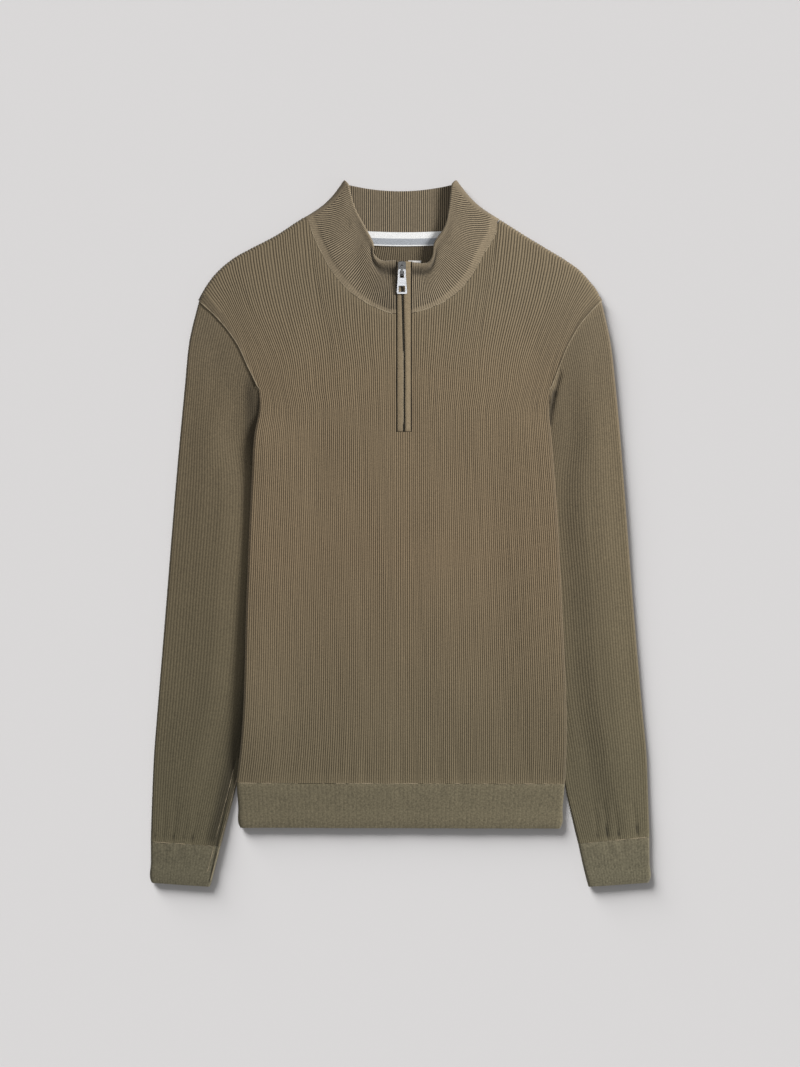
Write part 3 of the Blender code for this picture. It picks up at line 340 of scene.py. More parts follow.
def smooth(value):
    """0 to 1 with soft ends, for a value that runs from 0 to 1."""
    value = np.clip(value, 0.0, 1.0)
    return value * value * (3.0 - 2.0 * value)


def mix(low, high, share):
    return low + (high - low) * share


def lookup(table, key, name, value):
    """Column `name` of a table where its column `key` has this value."""
    rows = sorted(table, key=lambda row: getattr(row, key))
    return np.interp(value, [getattr(row, key) for row in rows],
                     [getattr(row, name) for row in rows])


def curve(keys, values, at):
    """A smooth line through values at these rising keys."""
    keys, values = np.array(keys, dtype=float), np.array(values, dtype=float)
    steps = np.diff(keys)
    slopes = np.diff(values) / steps
    inner = (slopes[:-1] * steps[1:] + slopes[1:] * steps[:-1]) / (steps[:-1] + steps[1:])
    tangents = np.concatenate([slopes[:1], inner, slopes[-1:]])
    at = np.clip(at, keys[0], keys[-1])
    i = np.clip(np.searchsorted(keys, at, side="right") - 1, 0, len(steps) - 1)
    s = (at - keys[i]) / steps[i]
    low, high = (1 - s) ** 2, s * s
    start = (1 + 2 * s) * low * values[i] + s * low * steps[i] * tangents[i]
    return start + high * (3 - 2 * s) * values[i + 1] + high * (s - 1) * steps[i] * tangents[i + 1]


def refined(table, key, parts=6):
    """The same table with its steps divided along smooth lines."""
    keys = [getattr(row, key) for row in table]
    steps = [np.linspace(a, b, parts, endpoint=False) for a, b in zip(keys, keys[1:])]
    at = np.concatenate(steps + [keys[-1:]])
    columns = [at if name == key else curve(keys, [getattr(row, name) for row in table], at)
               for name in table[0]._fields]
    return tuple(type(table[0])(*(float(v) for v in row)) for row in zip(*columns))


def wobble(seed, first, second, waves=5):
    """A smooth uneven field between about -1 and 1 over two coordinates."""
    rng = np.random.default_rng(seed)
    total = 0.0
    for _ in range(waves):
        a, b = rng.normal(0.0, 1.0, 2)
        total = total + np.sin(a * first + b * second + rng.uniform(0.0, 2.0 * math.pi))
    return total / math.sqrt(waves)


CREASE_END = 1.6     # a crease fades past its ends over this many of its widths


def crease_field(creases, x, y):
    """Height that a list of creases adds at plan points."""
    total = np.zeros(np.broadcast(x, y).shape)
    for c in creases:
        run = np.array((c.x1 - c.x0, c.y1 - c.y0), dtype=float)
        length = np.hypot(*run)
        along = ((x - c.x0) * run[0] + (y - c.y0) * run[1]) / length
        off = ((x - c.x0) * run[1] - (y - c.y0) * run[0]) / length
        past = np.maximum(0.0, np.maximum(-along, along - length)) / (c.width * CREASE_END)
        total = total + c.height * np.exp(-(off / c.width) ** 2) * smooth(1.0 - past)
    return total


def uneven_ribs(seed, rib_count, y):
    """The uneven height of single ribs, around 1."""
    return 1.0 + 0.12 * wobble(seed, rib_count * 1.7, y / 30)


def rib_shape(columns):
    """0 in the valley between two ribs and 1 on a rib's rounded crest."""
    return np.sin(np.pi * np.abs(np.mod(columns, 2.0)) / 2.0) ** 0.75


def normals_of(grid, round_it=False):
    """Unit normals of a grid of points, to the left of its columns seen along its rows."""
    across = np.gradient(grid, axis=1)
    if round_it:
        wrapped = np.concatenate([grid[:, -2:-1], grid, grid[:, 1:2]], axis=1)
        across = (wrapped[:, 2:] - wrapped[:, :-2]) / 2.0
    along = np.gradient(grid, axis=0)
    normal = np.cross(across, along)
    return normal / np.maximum(np.linalg.norm(normal, axis=2, keepdims=True), 1e-9)


def loft(control, counts):
    """Rows that run smoothly through the control rows, and where each one lies."""
    steps = np.maximum(np.linalg.norm(np.diff(control, axis=0), axis=2).mean(axis=1), 1e-6)
    slopes = np.diff(control, axis=0) / steps[:, None, None]
    before, after = steps[:-1, None, None], steps[1:, None, None]
    inner = (slopes[:-1] * after + slopes[1:] * before) / (before + after)
    tangents = np.concatenate([slopes[:1], inner, slopes[-1:]])
    rows = []
    for i, count in enumerate(counts):
        for s in np.arange(count) / count:
            low, high = (1 - s) ** 2, s * s
            start = (1 + 2 * s) * low * control[i] + s * low * steps[i] * tangents[i]
            stop = high * (3 - 2 * s) * control[i + 1] + high * (s - 1) * steps[i] * tangents[i + 1]
            rows.append(start + stop)
    rows.append(control[-1])
    return np.array(rows)


def run_length(grid):
    """Distance along each column from the first row."""
    steps = np.linalg.norm(np.diff(grid, axis=0), axis=2)
    return np.concatenate([np.zeros((1, grid.shape[1])), np.cumsum(steps, axis=0)])


ARMHOLE = refined(ARMHOLE, "y")
NECKLINE = refined(NECKLINE, "y")
SHOULDER = refined(SHOULDER, "out")
COLLAR_TOP_LEFT = refined(COLLAR_TOP_LEFT, "share")
COLLAR_TOP_RIGHT = refined(COLLAR_TOP_RIGHT, "share")


# ------------------------------------------------------------ knitted walls
def stitched_rows(faces, first, second):
    """Triangles and quads between two lines of (place, corner)."""
    i = 0
    j = 0
    while i < len(first) - 1 or j < len(second) - 1:
        a = sum(place for place, _ in first[i:i + 2]) / 2 if i < len(first) - 1 else math.inf
        b = sum(place for place, _ in second[j:j + 2]) / 2 if j < len(second) - 1 else math.inf
        if abs(a - b) < 1e-6 and first[i][0] == second[j][0]:
            faces.append((first[i][1], first[i + 1][1], second[j + 1][1], second[j][1]))
            i += 1
            j += 1
        elif a < b:
            faces.append((first[i][1], first[i + 1][1], second[j][1]))
            i += 1
        else:
            faces.append((first[i][1], second[j + 1][1], second[j][1]))
            j += 1


def in_one_only(first, second):
    """The stretches of columns that lie in just one of two lists of intervals."""
    ends = sorted({end for interval in first + second for end in interval})
    runs = []
    for low, high in zip(ends, ends[1:]):
        middle = (low + high) / 2
        if any(a < middle < b for a, b in first) != any(a < middle < b for a, b in second):
            runs.append((low, high))
    return runs


class KnitWall:
    """A closed wall of cloth between an outer and an inner grid of points.

    columns and inner_columns are the places of the grids' columns. strips[r]
    lists the intervals of columns that the cloth has between rows r and r + 1.
    The UV map counts ribs across and millimetres along the knit, and the
    attribute that carries wear and painted light is 0 on fresh knit, positive where the knit is
    rubbed pale and where a highlight is painted, and negative where shade is painted: in pleats and
    creases, beside raised parts and on sides turned from the light.
    "plain" is 1 where the ribs lie so flat that they
    don't show. home gives the column that a column joins in a row.
    """

    def __init__(self, name, outer, columns, inner, inner_columns, strips, ribs=None, worn=None,
                 round_it=False, home=None, inner_ribs=None, plain=None):
        self.outer = outer
        self.inner = inner
        self.columns = [round(float(c), 4) for c in columns]
        self.inner_columns = [round(float(c), 4) for c in inner_columns]
        self.place = {column: index for index, column in enumerate(self.columns)}
        self.inner_place = {column: index for index, column in enumerate(self.inner_columns)}
        ribs = np.array(self.columns) / 2.0 if ribs is None else ribs
        self.ribs = np.broadcast_to(ribs, outer.shape[:2])
        self.inner_ribs = inner_ribs
        self.home = home
        self.along = run_length(outer)
        self.worn = np.zeros(outer.shape[:2]) if worn is None else worn
        self.plain = np.zeros(outer.shape[:2]) if plain is None else plain
        self.round_it = round_it
        faces = []
        for row, intervals in enumerate(strips):
            for interval in intervals:
                for side in (0, 1):
                    stitched_rows(faces, self.line(side, row, interval),
                                  self.line(side, row + 1, interval))
                if not round_it:
                    for column in interval:
                        faces.append(((0, row, column), (0, row + 1, column),
                                      (1, row + 1, column), (1, row, column)))
        for row in range(len(strips) + 1):
            below = strips[row - 1] if row > 0 else []
            above = strips[row] if row < len(strips) else []
            for run in in_one_only(below, above):
                stitched_rows(faces, self.line(0, row, run), self.line(1, row, run))
        self.piece = self.build(name, faces)

    def line(self, side, row, interval):
        """The places and corners of a row of one face within an interval."""
        low, high = interval
        places = self.inner_columns if side else self.columns
        return [(column, (side, row, column)) for column in places if low <= column <= high]

    def key(self, corner):
        """The corner that a corner is merged with."""
        side, row, column = corner
        if self.round_it and column == self.columns[-1]:
            column = self.columns[0]
        if self.home:
            column = self.home(row, column)
        return side, row, column

    def build(self, name, faces):
        index = {}
        points = []
        worn = []
        plain = []
        polygons = []
        flat = []
        for face in faces:
            polygon = []
            corners = []
            for corner in face:
                key = self.key(corner)
                if key not in index:
                    index[key] = len(points)
                    side, row, column = key
                    grid = self.inner if side else self.outer
                    place = self.inner_place if side else self.place
                    points.append(grid[row, place[column]] * MM)
                    worn.append(self.worn[row, self.place[column]])
                    plain.append(self.plain[row, self.place[column]])
                if index[key] in polygon:
                    continue
                polygon.append(index[key])
                side, row, column = key
                place = self.place[corner[2] if self.round_it else column]
                ribs = self.inner_ribs if side and self.inner_ribs is not None else self.ribs
                corners += [ribs[row, place], self.along[row, place]]
            if len(polygon) > 2:
                polygons.append(polygon)
                flat += corners
        mesh = bpy.data.meshes.new(name)
        mesh.from_pydata(points, [], polygons)
        mesh.uv_layers.new(name="knit").data.foreach_set("uv", flat)
        mesh.attributes.new("worn", "FLOAT", "POINT").data.foreach_set("value", worn)
        mesh.attributes.new("plain", "FLOAT", "POINT").data.foreach_set("value", plain)
        closed_outwards(mesh)
        return placed(mesh, 55.0)


def placed(mesh, sharp):
    """A piece with this mesh, smooth up to an angle between its faces."""
    mesh.shade_smooth()
    mesh.set_sharp_from_angle(angle=math.radians(sharp))
    piece = bpy.data.objects.new(mesh.name, mesh)
    bpy.context.scene.collection.objects.link(piece)
    return piece


def plain_mesh(name, points, faces, sharp):
    mesh = bpy.data.meshes.new(name)
    mesh.from_pydata([tuple(c * MM for c in point) for point in points], [], faces)
    return placed(mesh, sharp)


def even_strip(name, rows, low_rows, columns, ribs=None, worn=None):
    """A wall whose rows all run from its first column to its last."""
    strips = [[(0.0, float(columns[-1]))]] * (len(rows) - 1)
    return KnitWall(name, np.array(rows), columns, np.array(low_rows), columns, strips,
                    ribs, worn).piece


def closed_outwards(mesh):
    """Turns the faces of a closed mesh outwards."""
    bm = bmesh.new()
    bm.from_mesh(mesh)
    bmesh.ops.recalc_face_normals(bm, faces=bm.faces[:])
    bm.to_mesh(mesh)
    bm.free()


# ------------------------------------------------------------ body
def tuck(y):
    """1 where a side lies on the sleeve's inner edge, 0 at the hem and the underarm."""
    if y > SLIT_BOTTOM_Y:
        return max(0.0, (UNDERARM_Y - y) / (UNDERARM_Y - SLIT_BOTTOM_Y))
    if y < TUCK_LOW_Y:
        return max(0.0, 1.0 - (TUCK_LOW_Y - y) / (TUCK_LOW_Y - BODY_EDGE[0].y))
    return 1.0


def side_base(distance, y):
    """Height of a side's underside, this far from its outline."""
    return SLEEVE_TUCK * tuck(y) * (1.0 - smooth((distance - TUCK_WIDTH) / TUCK_FALL))


def body_top(distance, y):
    """Height of the front, this far from its side fold."""
    if y > UNDERARM_Y:
        return CHEST_TOP + 0.0 * distance
    folded = SLEEVE_TUCK * tuck(y) + FOLD_TOP
    at_edge = mix(folded, CHEST_TOP, smooth((y - SLIT_BOTTOM_Y) / (UNDERARM_Y - SLIT_BOTTOM_Y)))
    return mix(at_edge, CHEST_TOP, smooth(distance / EDGE_BLEND))


def fold_radius(y):
    return float(body_top(0.0, y) - side_base(0.0, y)) / 2.0


def fold_reach(y):
    """How far the side fold's top lies inside its outermost line. It sharpens under the arm."""
    return fold_radius(y) * mix(0.25, 1.0, float(smooth((UNDERARM_Y - y) / 30.0)))


def panel_edge(side_name, y):
    """Where the front's level part ends: at the armhole or at the side fold's top."""
    if y > UNDERARM_Y:
        return float(lookup(ARMHOLE, "y", side_name, y))
    return float(lookup(BODY_EDGE, "y", side_name, y)) - sign_of(side_name) * fold_reach(y)


def column_x(columns, y):
    return np.interp(columns, (0, SLIT_LEFT, SLIT_RIGHT, LAST),
                     (panel_edge("left", y), SLIT_LEFT_X, SLIT_RIGHT_X, panel_edge("right", y)))


def shoulder_fold(x, turn):
    """Plan place and outward direction of the shoulder's fold beside x."""
    share = (np.abs(x) - SHOULDER[0].out) / (SHOULDER[-1].out - SHOULDER[0].out)
    lean = mix(SHOULDER_LEAN[0], SHOULDER_LEAN[1], share)
    out_x = np.sign(x) * lean
    out_y = np.sqrt(1.0 - lean * lean)
    edge_x = x + out_x * SHOULDER_RADIUS
    left = lookup(SHOULDER, "out", "left_y", np.abs(edge_x))
    right = lookup(SHOULDER, "out", "right_y", np.abs(edge_x))
    back = SHOULDER_RADIUS * (1.0 - math.sin(turn * math.pi / 2))
    return edge_x - out_x * back, np.where(x < 0, left, right) - out_y * back, out_x, out_y


def neckline_y(x):
    """The front's neckline."""
    middle = (NECKLINE[0].left + NECKLINE[0].right) / 2
    left = lookup(NECKLINE, "left", "y", x)
    right = lookup(NECKLINE, "right", "y", x)
    return np.where(x < middle, left, right)


BODY_COUNTS = (5, 24, 15, 7, 4, 3)  # rows from one BODY_EDGE to the next
SLIT_ROWS = 2        # how many of these steps the slit cuts
BODY_ROWS = sum(BODY_COUNTS)
YOKE_ROWS = 18
LEVEL_END = BODY_ROWS + YOKE_ROWS
ABOVE = 0.001        # just above the underarm, where the armhole's table starts
LEAN = 9.0           # how far ribs below the underarm are drawn outwards
LEAN_START_Y = 60.0
TURNS = (0.25, 0.5, 0.75, 1.0)      # rows round the shoulder's fold


def neck_or_shoulder(x, at_neck):
    """Where a rib ends at the top."""
    return np.where(at_neck, neckline_y(x) - GAP, shoulder_fold(x, 0.0)[1])


def lean_out(inward, y):
    """How far upper ribs are drawn towards an armhole, from the side fold (0) to the slit (1)."""
    rise = np.clip((y - LEAN_START_Y) / (UNDERARM_Y - LEAN_START_Y), 0.0, 1.0) ** 2
    return LEAN * rise * smooth(inward / 0.35) * (1.0 - np.clip(inward, 0.0, 1.0)) ** 1.1


def turned_under(columns):
    """Which of the front's columns lie past its level part."""
    return (columns < -EXTRA_END) | (columns > LAST + EXTRA_END)


def body_control(row, columns):
    """Outer face of the front's lower part without its ribs, at one of the control rows."""
    edge_y = BODY_EDGE[row].y
    level = np.clip(columns, 0, LAST)
    tilt = HEM_TILT * (level / LAST - 0.5) if row == 0 else 0.0
    x = column_x(level, edge_y)
    x = x - np.where(level <= SLIT_LEFT, lean_out(level / SLIT_LEFT, edge_y), 0.0)
    from_right = (LAST - level) / (LAST - SLIT_RIGHT)
    x = x + np.where(level >= SLIT_RIGHT, lean_out(from_right, edge_y), 0.0)
    left = BODY_EDGE[row].left
    right = BODY_EDGE[row].right
    radius = fold_radius(edge_y)
    inset = fold_reach(edge_y)
    z = body_top(np.maximum(0.0, np.minimum(x - left, right - x) - inset), edge_y)
    base = side_base(0.0, edge_y)
    extra = np.where(turned_under(columns), np.maximum(-columns, columns - LAST), 0.0)
    angle = np.pi * np.minimum(extra, FOLD) / FOLD
    distance = np.interp(extra - FOLD, range(len(SIDE_RETURN) + 1), (inset, *SIDE_RETURN))
    reach = np.where(extra > FOLD, distance, inset - inset * np.sin(angle))
    height = np.where(extra > FOLD, side_base(distance, edge_y),
                      base + radius + radius * np.cos(angle))
    x = np.where(extra > 0, np.where(columns < 0, left + reach, right - reach), x)
    return np.stack([x, edge_y - tilt + 0.0 * x, np.where(extra > 0, height, z)], axis=1)


def yoke_row(share, columns, phase):
    """The front between the underarm and the top: its ribs lean out along the armholes."""
    points = np.zeros((len(columns), 3))
    points[:, 2] = CHEST_TOP
    points[:, 1] = mix(UNDERARM_Y, NECKLINE[0].y, share)
    edge_y = mix(UNDERARM_Y, ARMHOLE[-1].y, share)
    for name in ("left", "right"):
        left = name == "left"
        sign = sign_of(name)
        mine = columns <= SLIT_LEFT if left else columns >= SLIT_RIGHT
        from_slit = SLIT_LEFT - phase if left else phase - SLIT_RIGHT
        count = SLIT_LEFT if left else LAST - SLIT_RIGHT
        extra = float(np.interp(share, *zip(*YOKE_EXTRA[name])))
        inward = np.clip(1.0 - from_slit / (count + extra), 0.0, 1.0)
        ends, places = zip(*YOKE_TOP[name])
        at_end = (1.0 - inward) * ends[-1]
        top_x = curve(ends, places, at_end)
        corner = SLIT_LEFT - NECK_LEFT if left else NECK_RIGHT - SLIT_RIGHT
        top_y = neck_or_shoulder(top_x, at_end < corner - 0.01)
        low_edge = panel_edge(name, UNDERARM_Y + ABOVE)
        low_x = mix(low_edge, SLIT_LEFT_X if left else SLIT_RIGHT_X, inward)
        low_x = low_x + sign * lean_out(inward, UNDERARM_Y)
        edge_run = panel_edge(name, ARMHOLE[-1].y) - low_edge
        edge_share = (panel_edge(name, edge_y + ABOVE) - low_edge) / edge_run
        inside_share = mix(share, smooth(share), 0.6)
        x = mix(low_x, top_x, mix(edge_share, inside_share, smooth(inward / 0.3)))
        y = mix(UNDERARM_Y, top_y, share)
        beyond = np.maximum(0.0, -columns if left else columns - LAST)
        x = x + sign * np.where(beyond > EXTRA_END, beyond, 0.0)
        points[mine, 0] = x[mine]
        points[mine, 1] = y[mine]
    between = (columns > SLIT_LEFT) & (columns < SLIT_RIGHT)
    points[between, 0] = np.interp(columns[between], (SLIT_LEFT, SLIT_RIGHT),
                                   (SLIT_LEFT_X, SLIT_RIGHT_X))
    return points


def yoke_extra(row):
    """How many half ribs have started along the armholes at a row."""
    share = np.clip((row - BODY_ROWS) / YOKE_ROWS, 0.0, 1.0)
    return {name: np.interp(share, *zip(*YOKE_EXTRA[name])) for name in YOKE_EXTRA}


def front_home(row, column):
    """Ribs that haven't started yet join the armhole's edge."""
    if 0 <= column <= LAST or turned_under(column):
        return column
    name = "left" if column < 0 else "right"
    number = (-column if name == "left" else column - LAST) / EXTRA_KEY
    started = float(yoke_extra(row)[name])
    if row <= BODY_ROWS:
        return 0.0 if name == "left" else float(LAST)
    if number < started - 0.01:
        return column
    return round(FIRST_EXTRA if name == "left" else LAST_EXTRA, 4)


def front_columns():
    """The front's columns, and the half rib that each one shows."""
    turned = np.arange(0.5, RETURN_END + 0.25, 0.5)
    extra_left = np.arange(0.5, EXTRA["left"] + 0.25, 0.5)[::-1]
    extra_right = np.arange(0.5, EXTRA["right"] + 0.25, 0.5)
    level = np.arange(0, LAST + 0.25, 0.5)
    columns = np.concatenate([-turned[::-1], -EXTRA_KEY * extra_left, level,
                              LAST + EXTRA_KEY * extra_right, LAST + turned])
    phase = np.concatenate([-turned[::-1], -extra_left, level, LAST + extra_right, LAST + turned])
    return columns, phase


def front_surface(columns, phase, at_neck):
    """The front without its ribs and creases, from the hem over the turned shoulders."""
    rows = range(len(BODY_EDGE))
    low = loft(np.array([body_control(row, columns) for row in rows]), BODY_COUNTS)
    high = np.array([yoke_row(row / YOKE_ROWS, columns, phase) for row in range(1, YOKE_ROWS + 1)])
    turns = []
    for number, turn in enumerate(TURNS):
        x, y, _, _ = shoulder_fold(high[-1, :, 0], turn)
        drop = SHOULDER_RADIUS * (1.0 - math.cos(turn * math.pi / 2))
        row = np.stack([x, y, CHEST_TOP - drop + 0.0 * x], axis=1)
        row[at_neck] = (high[-1] + (high[-1] - high[-2]) * 0.02 * (number + 1))[at_neck]
        turns.append(row)
    grid = np.concatenate([low, high, np.array(turns)])
    grid[..., 2] = np.maximum(grid[..., 2], 0.0)
    return grid


def front_inner_columns():
    """The columns of the front's plain inner face."""
    turned = (2, 5, 8, *range(FOLD, RETURN_END + 1))
    return sorted({SLIT_LEFT, SLIT_RIGHT, LAST, NECK_LEFT, NECK_RIGHT, FIRST_EXTRA, LAST_EXTRA,
                   *range(0, LAST, 4), *(-e for e in turned), *(LAST + e for e in turned)})


def front_strips():
    """The parts of each row that are knitted: beside the slit and beside the neck."""
    whole = [(-RETURN_END, LAST + RETURN_END)]
    slit = [(-RETURN_END, SLIT_LEFT), (SLIT_RIGHT, LAST + RETURN_END)]
    yoke = [(FIRST_EXTRA, SLIT_LEFT), (SLIT_RIGHT, LAST_EXTRA)]
    shoulders = [(FIRST_EXTRA, NECK_LEFT), (NECK_RIGHT, LAST_EXTRA)]
    strips = [whole] * sum(BODY_COUNTS[:-SLIT_ROWS]) + [slit] * sum(BODY_COUNTS[-SLIT_ROWS:])
    return strips + [yoke] * YOKE_ROWS + [shoulders] * len(TURNS)


def front_ribs(columns, phase, started, folded, extra):
    """Ribs counted across the front, at their own width where it is turned under."""
    distance = np.interp(extra - FOLD, range(len(SIDE_RETURN) + 1), (0.0, *SIDE_RETURN))
    beyond = np.where(extra > FOLD, FOLD / 2 + distance / RIB_WIDTH - extra / 2, 0.0)
    ribs = (phase + np.where(columns < 0, -beyond, beyond) * 2.0)[None, :] / 2.0
    level = np.clip(ribs, -started["left"] / 2.0, (LAST + started["right"]) / 2.0)
    return np.where(folded[None, :], ribs, level)


def make_front():
    columns, phase = front_columns()
    folded = turned_under(columns)
    at_neck = (columns > NECK_LEFT) & (columns < NECK_RIGHT)
    grid = front_surface(columns, phase, at_neck)
    x, y = grid[..., 0], grid[..., 1]
    normal = normals_of(grid)
    along = run_length(grid)
    row_number = np.arange(len(grid))[:, None]
    creased = crease_field(BODY_CREASES, x, y) + 0.28 * wobble(3, x / 26, y / 75)
    level = smooth((normal[..., 2] - 0.2) / 0.5) * smooth((LEVEL_END + 1 - row_number) / 4.0)
    creased = creased * level

    started = yoke_extra(row_number)
    from_left = phase[None, :] + started["left"]
    from_right = LAST + started["right"] - phase[None, :]
    from_armhole = np.minimum(from_left, from_right)
    edge = np.where(row_number > BODY_ROWS, smooth(from_armhole / 0.7), 1.0)
    plain = 0.10 + 0.24 * wobble(15, x / 36, y / 52) + 0.16 * smooth((120.0 - y) / 120.0)
    plain = np.clip(plain, 0.0, 0.8)
    rib_count = np.round(phase / 2.0)[None, :]
    height = RIB * uneven_ribs(5, rib_count, y) * (0.35 + 0.65 * smooth(along / 4.5))
    height = height * (0.3 + 0.7 * edge) * (1.0 - 0.5 * plain)
    neck_fade = 0.4 + 0.6 * smooth((LEVEL_END - row_number) / 1.5)
    height = height * np.where(at_neck[None, :], neck_fade, 1.0)
    under = (np.maximum(-columns, columns - LAST) > FOLD * 0.75)[None, :]
    ribbed = np.where(under, 0.0, rib_shape(phase)[None, :] * height)
    sway = 0.16 * wobble(9, rib_count * 2.3, y / 22)
    outer = grid + normal * (ribbed + creased)[..., None]
    outer[..., 0] += np.where((normal[..., 2] > 0.8) & (edge > 0.99) & ~folded, sway, 0.0)

    coarse = front_inner_columns()
    at = [int(np.argmin(np.abs(columns - c))) for c in coarse]
    inner = (grid + normal * (creased - WALL)[..., None])[:, at]
    extra = np.where(folded, np.maximum(-columns, columns - LAST), 0.0)
    ribs = front_ribs(columns, phase, started, folded, extra)
    # Painted shade beside the armhole seams, more on the left, and painted light along the side
    # folds: the left fold paler, the right fold darker.
    by_armhole = np.exp(-np.maximum(from_armhole, 0.0) / 1.8) * (row_number > BODY_ROWS)
    shaded = np.where(phase < SLIT_LEFT, 0.65, 0.3)[None, :] * by_armhole
    fold_painted_light = np.exp(-((extra - 2.0) / 2.5) ** 2)[None, :] * (extra > 0)
    worn = 0.35 * np.exp(-along / 3.0) - shaded + np.where(columns < 0, 0.15, -0.4) * fold_painted_light
    return KnitWall("front_panel", outer, columns, inner, coarse, front_strips(), ribs,
                    np.clip(worn, -1.0, 1.0), home=front_home,
                    plain=np.maximum(plain, np.exp(-along / 2.5))).piece


LEVELS = (184.0, 214.0, 239.0, 255.6)
LEVEL_ROWS = len(BODY_EDGE) + len(LEVELS)


def edge_level(row):
    """How far up the garment a control row of the back lies."""
    return BODY_EDGE[row].y if row < len(BODY_EDGE) else LEVELS[row - len(BODY_EDGE)]


BACK_SIDE = tuple(width - FOLD_TOP / 2 for width in SIDE_RETURN) + (SIDE_RETURN[-1] + 4.0,)
HIDDEN_ROOM = 0.7
ARMHOLE_RISE = 20.0
BACK_SETTLE = 26.0
SIDE_COLUMNS = len(BACK_SIDE) + 1
NECK_SPAN = 2.0
BACK_END = 2 * SIDE_COLUMNS + NECK_SPAN
NECK_RIBS = 60
NECK_RIB_WIDTH = 1.15


def back_neck_y(x):
    """The back's neckline."""
    return BACK_NECK_Y + BACK_NECK_RISE * ((x - NECK_MIDDLE_X) / NECK_HALF) ** 2


def neck_inset(side_name):
    """How far the neck's corner lies from the armhole's top."""
    corner = NECKLINE[-1].left if side_name == "left" else NECKLINE[-1].right
    return abs(panel_edge(side_name, ARMHOLE[-1].y) - corner)


def back_x(columns, y):
    """Where the back's columns lie across."""
    left = panel_edge("left", y)
    right = panel_edge("right", y)
    insets = (0.0, *BACK_SIDE)
    steps = list(range(SIDE_COLUMNS + 1))
    left_places = [left + inset for inset in insets] + [left + neck_inset("left")]
    right_places = [right - inset for inset in insets] + [right - neck_inset("right")]
    keys = steps + [BACK_END - s for s in reversed(steps)]
    return np.interp(columns, keys, left_places + right_places[::-1])


def back_control(row, columns, side):
    """The back's underside (0) or inner face (1) at a control row."""
    at_neck = (columns > SIDE_COLUMNS) & (columns < BACK_END - SIDE_COLUMNS)
    if row > LEVEL_ROWS - 1:
        turn = TURNS[row - LEVEL_ROWS]
        angle = turn * math.pi / 2
        x, y, out_x, out_y = shoulder_fold(back_x(columns, ARMHOLE[-1].y), turn)
        depth = WALL if side else 0.0
        radius = SHOULDER_RADIUS - GAP / 2
        z = radius * (1.0 - math.cos(angle)) + depth * math.cos(angle) + 0.0 * x
        return np.stack([x - out_x * depth * math.sin(angle),
                         y - out_y * depth * math.sin(angle), z], axis=1)
    edge_y = edge_level(row)
    x = back_x(columns, edge_y)
    if row < len(BODY_EDGE):
        y = edge_y - (HEM_TILT * (columns / BACK_END - 0.5) if row == 0 else 0.0) + 0.0 * x
    else:
        top_x = back_x(columns, ARMHOLE[-1].y)
        top = np.where(at_neck, back_neck_y(top_x) - GAP, shoulder_fold(top_x, 0.0)[1])
        y = mix(UNDERARM_Y, top, (edge_y - UNDERARM_Y) / (ARMHOLE[-1].y - UNDERARM_Y))
    inset = np.minimum(x - panel_edge("left", edge_y), panel_edge("right", edge_y) - x)
    if row >= len(BODY_EDGE):
        under = 0.0 * x
        inner = mix(WALL, BACK_MIDDLE, smooth(inset / ARMHOLE_RISE))
        if row == LEVEL_ROWS - 1:
            inner = np.where(at_neck, inner, WALL)
    else:
        distance = inset + fold_reach(edge_y)
        over_side = side_base(distance, edge_y) + WALL + HIDDEN_ROOM
        under = np.where(inset < BACK_SIDE[-1] - 0.1, over_side, 0.0)
        below_front = body_top(inset, edge_y) - WALL - HIDDEN_ROOM
        inner = mix(below_front, BACK_MIDDLE, smooth((inset - BACK_SIDE[-1]) / BACK_SETTLE))
    return np.stack([x, y, inner if side else under], axis=1)


